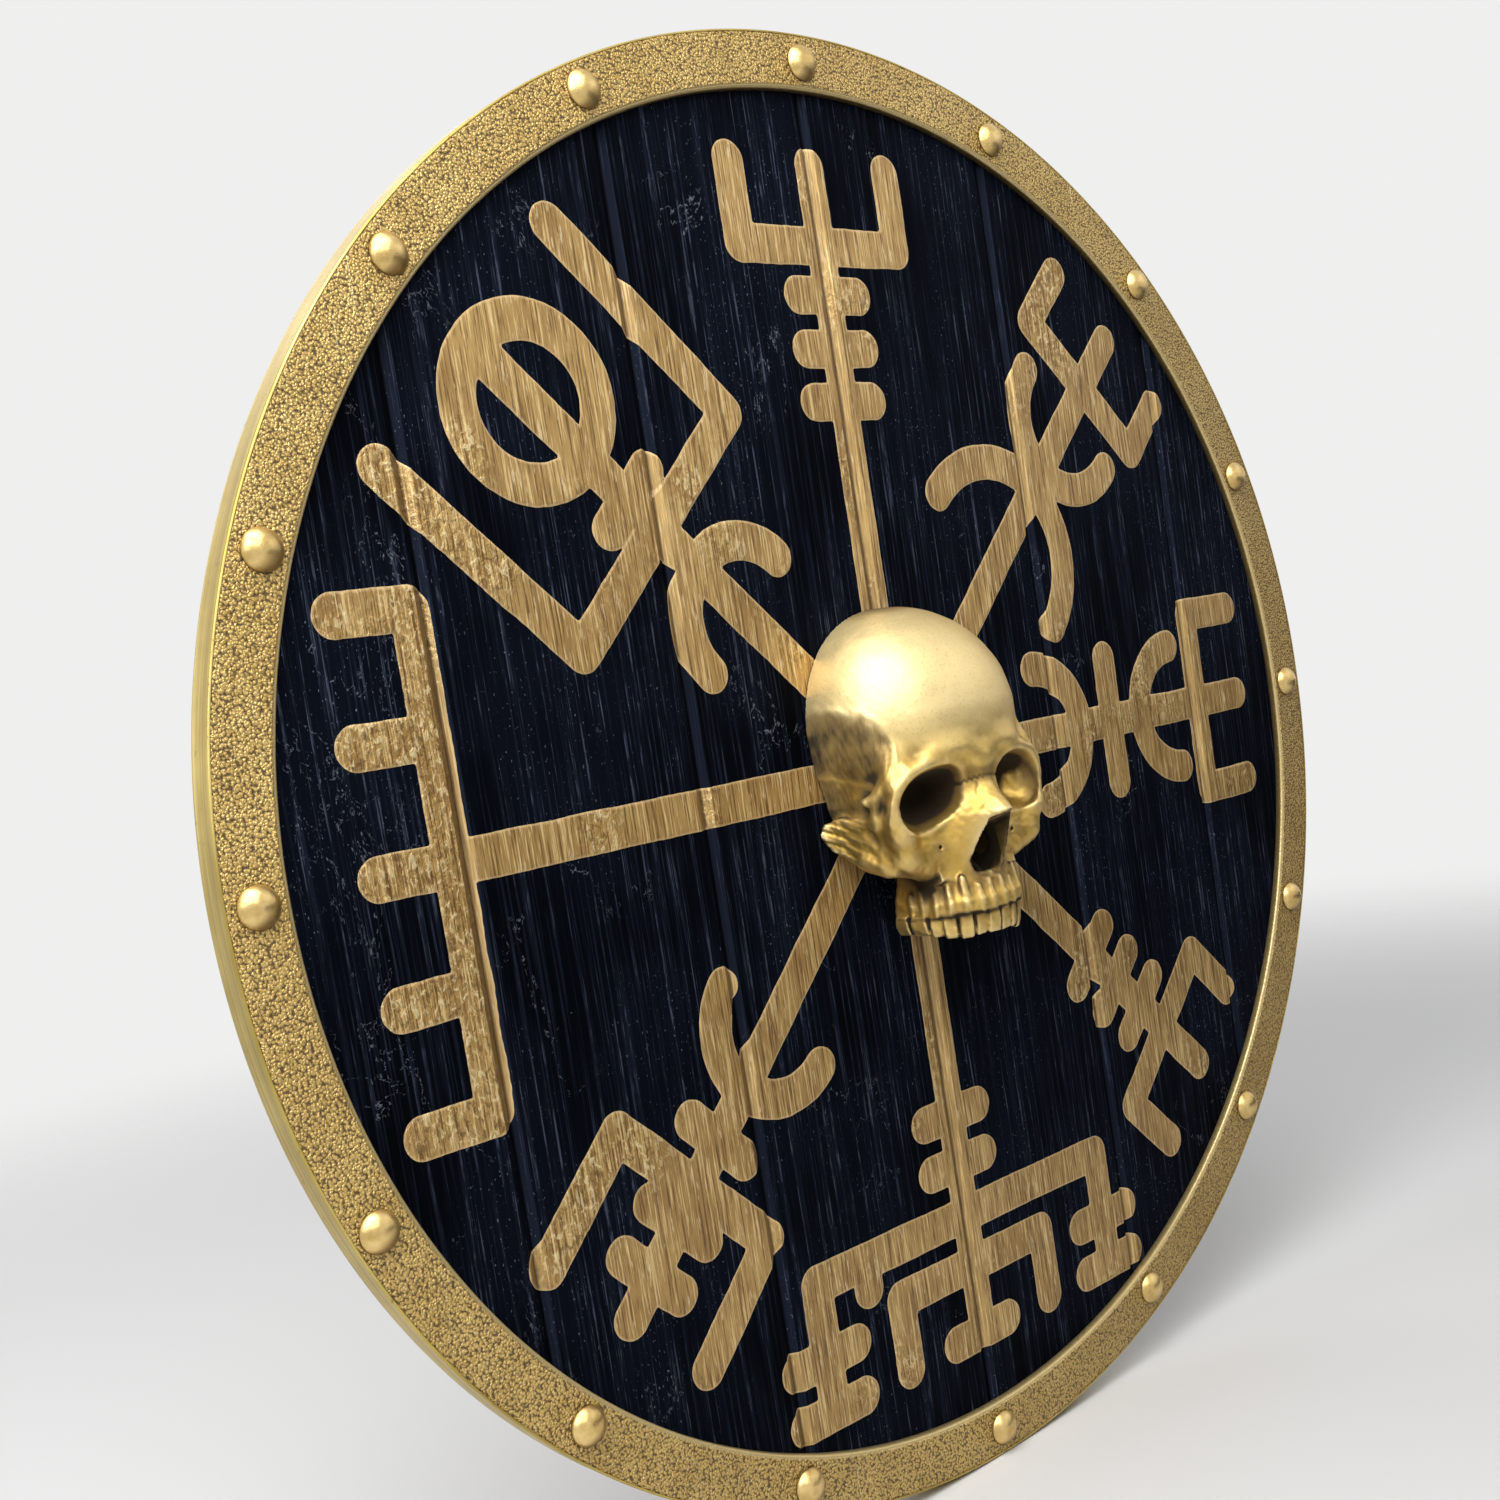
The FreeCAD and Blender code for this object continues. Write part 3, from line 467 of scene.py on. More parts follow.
def skull_gold():
    """Gilt casting with painted highlights on its crests and top, a brown patina wiped into its hollows
    together with painted shade, and painted shade on the right side and the lower face.
    """
    finish = Finish("skull_gold")
    side, _, height = finish.axes()
    dome_highlight = height.between(-0.002, 0.028)
    right = side.between(-0.008, 0.030) * height.between(-0.002, 0.012)
    shaded_lower_face = height.between(-0.024, -0.008, 1.0, 0.0) * height.between(-0.058, -0.050, 0.45, 1.0)
    hollow, crest_highlight, temple = (finish.painted(name) for name in ("hollow", "crest_highlight", "temple"))
    brushed = finish.cloud(finish.place, (420, 420, 90), 3.0, 0.6)
    mottle = finish.cloud(finish.place, 120, 4.0, 0.62)
    fine = finish.cloud(finish.place, 900, 3.0, 0.6)
    shade = hollow + (mottle - 0.5) * 0.22 + temple * (0.28 + (brushed - 0.5) * 0.45)
    patina = shade.between(0.16, 0.44)
    deep = shade.between(0.38, 0.70)
    colour = finish.coats(
        (0.60, 0.375, 0.075),
        (mottle.between(0.3, 0.7), (0.80, 0.56, 0.155)),
        # painted shade over the lower face
        (shaded_lower_face * (mottle * 0.5 + 0.25), (0.44, 0.27, 0.055)),
        # painted highlight, paler gold over the top of the skull
        (dome_highlight * 0.75, (0.95, 0.78, 0.41)),
        # painted shade on the right side of the forehead
        (right * (mottle * 0.9), (0.60, 0.39, 0.14)),
        (fine.between(0.55, 0.68) * 0.3, (0.50, 0.32, 0.10)),
        # painted highlight, pale gold on the convex crests
        (crest_highlight * 0.55, (0.97, 0.86, 0.54)),
        # patina in the hollows together with painted shade in deep places and under overhangs; near black where
        # deepest
        (patina * 0.85, (0.22, 0.135, 0.040)),
        (deep * 0.92, (0.016, 0.009, 0.004)))
    bumps = mottle * 0.35 + brushed * 0.12 + fine * 0.10 + temple * brushed * 0.6
    normal = finish.relief(bumps, 0.4 * millimetre)
    rough = 0.36 + patina * 0.12 + deep * 0.4 + mottle * 0.08 + dome_highlight * 0.06
    metal = 0.80 - patina * 0.3 - deep * 0.4 - dome_highlight * 0.18
    return finish.done(Base_Color=colour, Roughness=rough, Metallic=metal, Normal=normal)


def bare_wood(name, along):
    """Oiled plain wood whose grain runs along one axis."""
    finish = Finish(name, Specular_IOR_Level=0.3)
    fine, broad = ([across] * 3 for across in (330.0, 34.0))
    fine[along], broad[along] = 6.0, 1.8
    grain = finish.cloud(finish.place, tuple(fine), 4.0, 0.62)
    rings = finish.cloud(finish.place, tuple(broad), 2.0, 0.5, 0.7)
    wear = finish.cloud(finish.place, 40, 3.0, 0.6)
    colour = finish.coats(
        (0.42, 0.255, 0.125),
        (grain.between(0.3, 0.72), (0.20, 0.105, 0.045)),
        (rings.between(0.45, 0.72) * 0.6, (0.16, 0.08, 0.033)),
        (wear.between(0.58, 0.75) * 0.4, (0.09, 0.05, 0.028)))
    normal = finish.relief(grain, 0.4 * millimetre)
    return finish.done(Base_Color=colour, Roughness=0.6 - wear * 0.15, Normal=normal)


def dull_steel():
    """Zinc-grey steel with small scratches and a little rust."""
    finish = Finish("dull_steel")
    brushed = finish.cloud(finish.place, (300, 1200, 1200), 3.0, 0.6)
    rust = finish.cloud(finish.place, 160, 4.0, 0.65).between(0.62, 0.74)
    colour = finish.coats(
        (0.34, 0.34, 0.35),
        (brushed.between(0.3, 0.7), (0.52, 0.52, 0.53)),
        (rust * 0.7, (0.16, 0.075, 0.035)))
    normal = finish.relief(brushed * 0.6 + rust * 0.4, 0.15 * millimetre)
    rough = 0.36 + rust * 0.3
    metal = 0.95 - rust * 0.6
    return finish.done(Base_Color=colour, Roughness=rough, Metallic=metal, Normal=normal)


def dress(material, *names):
    """Gives nodes of the frame their finish."""
    for name in names:
        for slot in nodes[name].material_slots:
            slot.material = material


paint_finish = gilt_paint()
stud_finish = stud_gold()
dress(stained_boards(), *("board_%d" % number for number in range(1, 7)))
dress(bare_wood("batten_wood", 0), "batten_upper", "batten_lower", "grip_bar")
dress(bare_wood("block_wood", 1), "grip_block_left", "grip_block_right")
dress(dull_steel(), "skull_screws", "skull_washers", "batten_screws", "grip_screws", "hanger_plate",
      "hanger_ring", "hanger_screws", "rivet_roves")


# ---------------------------------------------------------------- rim
def arc_steps(steps):
    """The sine and cosine at even steps over a quarter turn."""
    return [(math.sin(quarter_turn * step / steps), math.cos(quarter_turn * step / steps))
            for step in range(steps + 1)]


def rim_ring():
    """The flat ring with its rounded inner lip, a little uneven on its face as hand work is."""
    bead = 1.5 * millimetre
    waviness = 0.07 * millimetre
    inner = field_radius + bead
    strips = 18
    outline = [(field_radius, board_front)]
    outline += [(inner - bead * cosine, ring_front + bead - bead * sine) for sine, cosine in arc_steps(6)]
    outline += [(inner + (board_radius - inner) * share / strips, ring_front) for share in range(1, strips + 1)]
    made = turned_mesh("rim", outline + [(board_radius, board_front)], 900, gilt_hide())
    points = np.array([v.co for v in made.data.vertices])
    shove = ripples(points, 0.028, 3) * 0.6 + ripples(points, 0.009, 4) * 0.4
    on_face = points[:, 1] < board_front - 0.5 * millimetre
    points[:, 1] = np.where(on_face, points[:, 1] + waviness * (shove + 1.6), points[:, 1])
    made.data.vertices.foreach_set("co", points.ravel())
    made.data.update()
    return made


rim = rim_ring()
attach(rim, "shield")
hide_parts("rim_ring")


def butted_band():
    """The edge band, bent round with its two ends close together at the bottom."""
    round_over = 0.7 * millimetre
    front, back = ring_front + round_over, board_back - round_over
    inner = shield_radius - round_over
    strips = 12
    outline = [(board_radius, board_back), (board_radius, ring_front)]
    outline += [(inner + round_over * sine, front - round_over * cosine) for sine, cosine in arc_steps(3)]
    outline += [(shield_radius, front + (back - front) * share / strips) for share in range(1, strips)]
    outline += [(inner + round_over * cosine, back + round_over * sine) for sine, cosine in arc_steps(3)]
    return turned_mesh("edge_trim", outline, 720, edge_brass(), gap=0.5 * millimetre / shield_radius)


edge_trim = butted_band()
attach(edge_trim, "shield")
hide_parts("edge_band")


# ---------------------------------------------------------------- studs
def ring_of_pieces_tree():
    """Sets a piece at even steps round a circle across the shield, each with its own turn and tilt."""
    tree = bpy.data.node_groups.new("ring_of_pieces", "GeometryNodeTree")
    keys = {}
    for label, kind, value in (
        ("Piece", "NodeSocketObject", None),
        ("Count", "NodeSocketInt", 16),
        ("Circle Radius", "NodeSocketFloat", 0.29),
        ("Tilt", "NodeSocketFloat", 0.0),
        ("Seed", "NodeSocketInt", 1),
        ("Material", "NodeSocketMaterial", None),
    ):
        socket = tree.interface.new_socket(label, in_out="INPUT", socket_type=kind)
        if value is not None:
            socket.default_value = value
        keys[label] = socket.identifier
    tree.interface.new_socket("Geometry", in_out="OUTPUT", socket_type="NodeSocketGeometry")
    plan = Tree(tree)
    enter = tree.nodes.new("NodeGroupInput")
    given = {label: Wire(plan, enter.outputs[label]) for label in keys}
    circle = plan.node("GeometryNodeMeshCircle", None,
                       {"Vertices": given["Count"], "Radius": given["Circle Radius"]}, "Mesh")
    upright = plan.node("GeometryNodeTransform", None, {"Geometry": circle, "Rotation": (quarter_turn, 0, 0)})
    shape = plan.node("GeometryNodeObjectInfo", None, {"Object": given["Piece"]}, "Geometry")
    most = (1, 50, 1)
    lean = plan.node("FunctionNodeRandomValue", {"data_type": "FLOAT_VECTOR"},
                     {0: tuple(-value for value in most), 1: most, "Seed": given["Seed"]})
    tilt = plan.node("ShaderNodeVectorMath", {"operation": "SCALE"}, {0: lean, "Scale": given["Tilt"]})
    placed = plan.node("GeometryNodeInstanceOnPoints", None,
                       {"Points": upright, "Instance": shape, "Rotation": tilt})
    real = plan.node("GeometryNodeRealizeInstances", None, {"Geometry": placed})
    coat = plan.node("GeometryNodeSetMaterial", None, {"Geometry": real, "Material": given["Material"]})
    leave = tree.nodes.new("NodeGroupOutput")
    tree.links.new(coat.socket, leave.inputs["Geometry"])
    return tree, keys


def ring_of_pieces(name, pattern, material, **values):
    """A plain mesh of a pattern piece repeated round the rim."""
    carrier = mesh_object(name + "_carrier", [(0, 0, 0)], [], material)
    step = carrier.modifiers.new("set_out", "NODES")
    step.node_group, keys = ring_of_pieces_tree()
    values.update({"Piece": pattern, "Material": material})
    for label, value in values.items():
        step[keys[label.replace("_", " ")]] = value
    bpy.context.view_layer.update()
    shaped = carrier.evaluated_get(bpy.context.evaluated_depsgraph_get())
    mesh = bpy.data.meshes.new_from_object(shaped)
    carrier.modifiers.remove(step)
    for unwanted in (carrier, pattern):
        bpy.data.objects.remove(unwanted)
    made = bpy.data.objects.new(name, mesh)
    mesh.name = name
    bpy.context.scene.collection.objects.link(made)
    return made


def cap_outline(radius, base, height, steps):
    """A round cap from its rim to its crown; a negative height bulges forward."""
    ball = (radius ** 2 + height ** 2) / (2 * abs(height))
    reach = math.asin(min(1.0, radius / ball))
    sign = 1 if height > 0 else -1
    section = []
    for step in range(steps + 1):
        angle = reach * (1 - step / steps)
        section.append((ball * math.sin(angle), base + height - sign * ball * (1 - math.cos(angle))))
    return section


def stud_pattern():
    """Domed head in front, shank, and a tail closed over the rove behind."""
    head, shank, tail = 7.5 * millimetre, 2 * millimetre, 3.25 * millimetre
    lip = 0.35 * millimetre
    seat = ring_front + 0.2 * millimetre
    rove_back = board_back + 1 * millimetre
    front = cap_outline(head, ring_front - lip, -(5 * millimetre - lip), 12)
    back = cap_outline(tail, rove_back, 1.5 * millimetre, 6)
    outline = list(reversed(front)) + [(head, seat), (shank, seat), (shank, rove_back)] + back
    return turned_mesh("stud_pattern", outline, 40, stud_finish, closed=False)


studs = ring_of_pieces("studs", stud_pattern(), stud_finish, Count=16, Circle_Radius=stud_circle,
                       Tilt=0.02, Seed=5)
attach(studs, "shield")
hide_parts("rim_rivets")


# ---------------------------------------------------------------- gilt stave figure
# Strokes are set out along an arm (u) and across it (v), in shares of the figure's reach.
stave_reach = field_radius * 0.894
stroke_half = 8 * millimetre
paint_depth = 0.3 * millimetre
arm_start = 0.16
bar_half = 0.066
prong = 0.176


def straight(u0, v0, u1, v1):
    return [("straight", u0, v0, u1, v1)]


def staff(end):
    return straight(arm_start, 0.0, end, 0.0)


def bars(places, half=bar_half):
    return [("straight", u, -half, u, half) for u in places]


def fork(bar, half, tip):
    strokes = straight(bar, -half, bar, half)
    for side in (-1, 1):
        strokes += straight(bar, side * half, tip, side * half)
    return strokes


def bow(centre, radius, opens_outward, half_angle):
    return [("bow", centre, radius, 180.0 if opens_outward else 0.0, half_angle)]


def west_comb():
    strokes = fork(0.872, 2 * prong, 0.986)
    for side in (-1, 1):
        strokes += straight(0.872, side * prong, 0.986, side * prong)
    return strokes


def south_crown():
    outer = 0.355
    strokes = bars((0.607, 0.694, 0.994)) + fork(0.784, outer, 0.995) + fork(0.873, 0.18, 0.994)
    strokes += straight(0.784, -0.245, 0.831, -0.245)
    for side in (-1, 1):
        for u in (0.906, 0.995):
            strokes += straight(u, side * outer - bar_half, u, side * outer + bar_half)
    return strokes


arms = (
    ("east", staff(1.0) + bow(0.369, 0.122, False, 87) + bow(0.794, 0.12, True, 87)
     + bars((0.583,), 0.119) + fork(0.861, prong, 1.0)),
    ("north_east", staff(1.016) + bow(0.452, 0.183, False, 88) + bow(0.813, 0.135, True, 88)
     + fork(0.891, prong, 1.016)),
    ("north", staff(1.0) + bars((0.615, 0.702, 0.79)) + fork(0.87, prong, 1.0)),
    ("north_west", staff(0.99) + bow(0.401, 0.119, False, 88) + fork(0.61, 0.241, 1.008)
     + bars((0.675,), 0.06) + bow(0.884, 0.119, True, 180)),
    ("west", staff(0.986) + west_comb()),
    ("south_west", staff(1.002) + bow(0.5, 0.121, False, 85) + fork(0.79, 0.173, 1.004)
     + bars((0.71, 0.847, 0.935), 0.063)),
    ("south", staff(0.995) + south_crown()),
    ("south_east", staff(1.0) + bars((0.599, 0.688, 0.778)) + fork(0.861, 0.172, 1.0)),
)


def stroke_distance(u, v, stroke):
    """How far each point lies from the middle line of a stroke."""
    if stroke[0] == "straight":
        u0, v0, u1, v1 = (share * stave_reach for share in stroke[1:])
        along = ((u - u0) * (u1 - u0) + (v - v0) * (v1 - v0)) / ((u1 - u0) ** 2 + (v1 - v0) ** 2)
        along = np.clip(along, 0, 1)
        return np.hypot(u - u0 - along * (u1 - u0), v - v0 - along * (v1 - v0))
    centre, radius = stroke[1] * stave_reach, stroke[2] * stave_reach
    middle, half_angle = stroke[3:]
    turn = np.degrees(np.arctan2(v, u - centre)) - middle
    turn = np.clip((turn + 180) % 360 - 180, -half_angle, half_angle)
    held = np.radians(turn + middle)
    return np.hypot(u - centre - radius * np.cos(held), v - radius * np.sin(held))


def board_face(x):
    """Where the boards' face lies at x: flat, with a V at each seam."""
    nearest = np.min(np.abs(np.subtract.outer(x, np.array(seam_places))), axis=-1)
    return board_front + vee_depth * np.clip(1 - nearest / vee_width, 0, 1)


def ruled_lines(low, high, pitch, kept):
    """Evenly spaced lines, with the kept ones among them."""
    even = [value for value in np.arange(low, high + pitch, pitch)
            if all(abs(value - line) > pitch * 0.45 for line in kept)]
    return np.array(sorted(even + [line for line in kept if low < line < high]))


def painted_arm(name, bearing, strokes):
    """One arm's paint as a thin closed skin on the boards, with the edges a brush leaves."""
    turn = math.radians(bearing)
    corners = [(u * stave_reach, v * stave_reach) for u in (0.1, 1.08) for v in (-0.47, 0.47)]
    xs = [u * math.cos(turn) - v * math.sin(turn) for u, v in corners]
    zs = [u * math.sin(turn) + v * math.cos(turn) for u, v in corners]
    creases = [seam + shift for seam in seam_places for shift in (-vee_width, 0.0, vee_width)]
    x_lines = ruled_lines(min(xs), max(xs), millimetre, creases)
    z_lines = ruled_lines(min(zs), max(zs), millimetre, [])
    x, z = np.meshgrid(x_lines, z_lines, indexing="ij")
    u = x * math.cos(turn) + z * math.sin(turn)
    v = z * math.cos(turn) - x * math.sin(turn)
    distance = np.min([stroke_distance(u, v, stroke) for stroke in strokes], axis=0)
    flat = np.stack([x.ravel(), np.zeros(x.size), z.ravel()], axis=1)
    ripple = ripples(flat, 0.022, bearing + 1) * 0.14 + ripples(flat, 0.006, bearing + 2) * 0.07
    edge = distance - stroke_half + ripple.reshape(x.shape) * millimetre
    points, inset, tops = skin_inside(x_lines, z_lines, edge)
    # the skin swells from its edge to its full depth over the first 0.9 millimetre
    points = np.array(points)
    depth = paint_depth * (0.4 + 0.6 * np.clip(np.array(inset) / (0.9 * millimetre), 0, 1))
    face = board_face(points[:, 0])
    front = np.stack([points[:, 0], face - depth, points[:, 1]], axis=1)
    behind = np.stack([points[:, 0], face, points[:, 1]], axis=1)
    count = len(points)
    faces = list(tops) + [[corner + count for corner in reversed(top)] for top in tops]
    edges = {(here, there): None for top in tops for here, there in zip(top, top[1:] + top[:1])}
    faces += [[there, here, here + count, there + count] for here, there in edges
              if (there, here) not in edges]
    made = mesh_object(name, np.concatenate([front, behind]), faces, paint_finish, smooth=False)
    point_values(made, "inset", np.concatenate([inset, inset]) / millimetre)
    return made


def skin_inside(x_lines, z_lines, edge):
    """The faces of the part of a grid where edge is below nought, cut off along its border."""
    inside = edge < 0
    points, inset, seen, tops = [], [], {}, []

    def kept_at(key, x, z, depth):
        if key not in seen:
            seen[key] = len(points)
            points.append((x, z))
            inset.append(depth)
        return seen[key]

    def crossing(here, there):
        (i, j), (k, l) = sorted((here, there))
        share = edge[i, j] / (edge[i, j] - edge[k, l])
        share = min(0.96, max(0.04, share))
        x = x_lines[i] + share * (x_lines[k] - x_lines[i])
        z = z_lines[j] + share * (z_lines[l] - z_lines[j])
        return kept_at(((i, j), (k, l)), x, z, 0.0)

    filled = inside[:-1, :-1] | inside[1:, :-1] | inside[1:, 1:] | inside[:-1, 1:]
    for i, j in zip(*(places.tolist() for places in np.nonzero(filled))):
        ring = ((i, j), (i + 1, j), (i + 1, j + 1), (i, j + 1))
        top = []
        for here, there in zip(ring, ring[1:] + ring[:1]):
            if inside[here]:
                top.append(kept_at(here, x_lines[here[0]], z_lines[here[1]], -edge[here]))
            if inside[here] != inside[there]:
                top.append(crossing(here, there))
        tops.append(top)
    return points, inset, tops


for index, (name, strokes) in enumerate(arms):
    arm = painted_arm("gilt_arm_" + name, 45 * index, strokes)
    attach(arm, "shield")
    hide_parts("stave_" + name)


# ---------------------------------------------------------------- skull
# Worked in millimetres as one field of distances: side (across), off (off the boards), up.
def blended(first, second, width):
    """The nearer of two distances, run together over a width."""
    share = np.clip(0.5 + 0.5 * (second - first) / width, 0, 1)
    return second + (first - second) * share - width * share * (1 - share)


def bone(side, off, up, points):
    """Distance from a round bone that runs through points, each with its own radius."""
    nearest = None
    for (s0, o0, u0, r0), (s1, o1, u1, r1) in zip(points, points[1:]):
        ds, do, du = s1 - s0, o1 - o0, u1 - u0
        along = ((side - s0) * ds + (off - o0) * do + (up - u0) * du) / (ds * ds + do * do + du * du)
        along = np.clip(along, 0, 1)
        gap = np.sqrt((side - s0 - along * ds) ** 2 + (off - o0 - along * do) ** 2
                      + (up - u0 - along * du) ** 2) - (r0 + along * (r1 - r0))
        nearest = gap if nearest is None else blended(nearest, gap, 1.0)
    return nearest


def egg(side, off, up, centre, radii):
    """Distance from an egg shape, near enough close to its skin."""
    a, b, c = ((place - middle) / radius for place, middle, radius in zip((side, off, up), centre, radii))
    first = np.sqrt(a * a + b * b + c * c)
    second = np.sqrt((a / radii[0]) ** 2 + (b / radii[1]) ** 2 + (c / radii[2]) ** 2)
    return first * (first - 1) / np.maximum(second, 1e-6)


class Carving:
    """A block of distances that bones are added to and hollows are cut from."""

    def __init__(self, low, high, pitch):
        self.low = np.array(low, np.float64)
        self.pitch = pitch
        counts = np.ceil((np.array(high) - self.low) / pitch).astype(int) + 1
        self.lines = [self.low[axis] + pitch * np.arange(counts[axis]) for axis in range(3)]
        self.field = np.full(tuple(counts), 60.0, np.float32)

    def part(self, low, high):
        """The slice of the block between two corners, and the places in it."""
        cuts = []
        for axis in range(3):
            first = max(0, int((low[axis] - self.low[axis]) / self.pitch))
            last = int((high[axis] - self.low[axis]) / self.pitch) + 2
            cuts.append(slice(first, max(first + 1, last)))
        across, off, up = (line[cut] for line, cut in zip(self.lines, cuts))
        return tuple(cuts), (across[:, None, None], off[None, :, None], up[None, None, :])

    def both_sides(self, shape, low, high):
        """The slice between two corners, on both sides of the middle, and a shape's distances in it."""
        cuts, places = self.part((-high[0], low[1], low[2]), high)
        across, off, up = (line.astype(np.float32) for line in places)
        return cuts, shape(np.abs(across), off, up)

    def add(self, shape, low, high, width):
        cuts, gap = self.both_sides(shape, low, high)
        self.field[cuts] = blended(self.field[cuts], gap, width)

    def cut(self, shape, low, high, width):
        cuts, gap = self.both_sides(shape, low, high)
        self.field[cuts] = -blended(-self.field[cuts], gap, width)

    def add_egg(self, centre, radii, low, high, width):
        self.add(lambda side, off, up: egg(side, off, up, centre, radii), low, high, width)

    def cut_egg(self, centre, radii, low, high, width):
        self.cut(lambda side, off, up: egg(side, off, up, centre, radii), low, high, width)

    def cut_bone(self, points, low, high, width):
        self.cut(lambda side, off, up: bone(side, off, up, points), low, high, width)

    def add_bone(self, points, width):
        spare = 8.0
        low = [min(point[axis] - point[3] for point in points) - spare for axis in range(3)]
        high = [max(point[axis] + point[3] for point in points) + spare for axis in range(3)]
        self.add(lambda side, off, up: bone(side, off, up, points), low, high, width)

    def at(self, points, field=None):
        """The distance at any places, read between the lines of the block."""
        field = self.field if field is None else field
        place = (points - self.low) / self.pitch
        place = np.clip(place, 0, np.array(field.shape) - 1.001)
        base = place.astype(int)
        share = place - base
        total = np.zeros(len(points))
        for corner in range(8):
            bits = np.array([corner >> 2 & 1, corner >> 1 & 1, corner & 1])
            weight = np.prod(np.where(bits, share, 1 - share), axis=1)
            at = base + bits
            total += weight * field[at[:, 0], at[:, 1], at[:, 2]]
        return total

    def softened(self, steps):
        """The block blurred by a few cells each way."""
        field = self.field.copy()
        for _ in range(steps):
            for axis in range(3):
                ahead = np.roll(field, 1, axis)
                after = np.roll(field, -1, axis)
                field = (ahead + 2 * field + after) / 4
        return field

    def skin(self):
        """Points and four-sided faces of the surface where the distance is nought."""
        solid = self.field < 0
        shape = np.array(self.field.shape) - 1
        total = np.zeros(tuple(shape) + (3,), np.float32)
        count = np.zeros(tuple(shape), np.int32)
        crossings = []
        for axis in range(3):
            ahead = [slice(None)] * 3
            after = [slice(None)] * 3
            ahead[axis], after[axis] = slice(None, -1), slice(1, None)
            first, second = self.field[tuple(ahead)], self.field[tuple(after)]
            crossed = np.argwhere((first < 0) != (second < 0))
            at = tuple(crossed.T)
            place = crossed.astype(np.float32)
            place[:, axis] += first[at] / (first[at] - second[at])
            others = [other for other in range(3) if other != axis]
            for down, back in ((0, 0), (0, 1), (1, 0), (1, 1)):
                cell = cell_beside(crossed, others, down, back)
                whole = np.all((cell >= 0) & (cell < shape), axis=1)
                where = tuple(cell[whole].T)
                np.add.at(total, where, place[whole])
                np.add.at(count, where, 1)
            crossings.append((crossed, others, solid[at]))
        used = tuple(np.argwhere(count > 0).T)
        number = np.full(tuple(shape), -1, np.int64)
        number[used] = np.arange(len(used[0]))
        points = total[used] / count[used][:, None] * self.pitch + self.low
        faces = []
        for axis, (crossed, others, outward) in enumerate(crossings):
            ring = [number[tuple(cell_beside(crossed, others, down, back).T)]
                    for down, back in ((0, 0), (1, 0), (1, 1), (0, 1))]
            ring = np.stack(ring, axis=1)
            flip = outward if axis != 1 else ~outward
            faces.append(np.where(flip[:, None], ring, ring[:, ::-1]))
        return points, np.concatenate(faces)


def cell_beside(cells, others, down, back):
    """The cells that lie a step down or back on the two other axes."""
    beside = cells.copy()
    beside[:, others[0]] -= down
    beside[:, others[1]] -= back
    return beside


def drawn(places, values):
    """A smooth curve through a few measured values."""
    fine = np.linspace(places[0], places[-1], 400)
    line = np.interp(fine, places, values)
    spread = max(3, int(len(fine) * 0.03))
    padded = np.pad(line, spread, mode="edge")
    kernel = np.hanning(2 * spread + 1)
    line = np.convolve(padded, kernel / kernel.sum(), mode="valid")
    return lambda up: np.interp(up, fine, line).astype(np.float32)


def share_of(amount, full):
    """How much of a full amount a value is, held between nought and one."""
    return np.clip(amount / full, 0, 1)


def peak(gap, width):
    """One in the middle of a line, falling softly to nought beside it."""
    return np.exp(-(gap / width) ** 2)


cranium_half = drawn([-40, -30, -16, -2, 10, 21, 70], [30, 37, 44.2, 47.4, 49.8, 50.3, 50.3])
cranium_off = drawn([-40, -26, -14, -4, 4, 12, 23, 36, 47, 55, 62, 70],
                    [22, 25, 31, 41, 46.5, 49.6, 50.4, 50.0, 48.6, 46.6, 44.2, 42.5])


def cranium(side, off, up):
    """The brain case, from the widths and depths measured at each height."""
    power = 2.2
    rise = np.maximum(up - 15, 0) / 52.8
    drop = np.maximum(-10 - up, 0) / 22
    off = np.maximum(off, 0)
    reach = ((side / cranium_half(up)) ** power + (off / cranium_off(up)) ** power
             + rise ** power + drop ** power) ** (1 / power)
    return (reach - 1) * 44


def socket_rim_off(side, up):
    """How far off the boards the rim of the eye socket lies: it leans back below and outward."""
    return 43.0 - 0.128 * (side - 10.4) + 0.28 * (up + 11.8)


def socket_reach(side, off, up):
    """How far out a place is in the eye socket, and how deep; it narrows toward the middle."""
    deep = socket_rim_off(side, up) - off
    narrow = np.clip(1 - np.maximum(deep, 0) / 31, 0.02, 1) ** 0.8
    half_side, half_up = 15.4 * narrow, 12.1 * narrow
    middle = 10.9 + half_side
    lean = up + 11.8 + 0.14 * (side - 26.2)
    power = 2.35
    reach = ((np.abs(side - middle) / half_side) ** power + (np.abs(lean) / half_up) ** power) ** (1 / power)
    return reach, deep, half_up


def eye_socket(side, off, up):
    """The hollow of the eye socket, cut off flat at its depth."""
    reach, deep, half_up = socket_reach(side, off, up)
    return -blended((1 - reach) * half_up, 24 - deep, 3.0)


def socket_rim(side, off, up):
    """The rounded rim, full at the side and below, and lost in the nose on the inner side."""
    reach, deep, half_up = socket_reach(side, off, up)
    out = (reach - 1.13) * 13.0
    radius = 1.3 + share_of(side - 14, 10) * 1.2
    return np.sqrt(out ** 2 + (deep - radius) ** 2) - radius


maxilla_half = drawn([-66, -59, -54, -48, -43, -36, -24, -10],
                     [25.6, 26.6, 26.0, 23.8, 22.4, 21.0, 21, 15])
maxilla_off = drawn([-66, -59, -55, -50, -46, -40, -30, -20, -10],
                    [45.8, 46.8, 46.6, 44.2, 42.2, 40.6, 39.6, 40, 42])


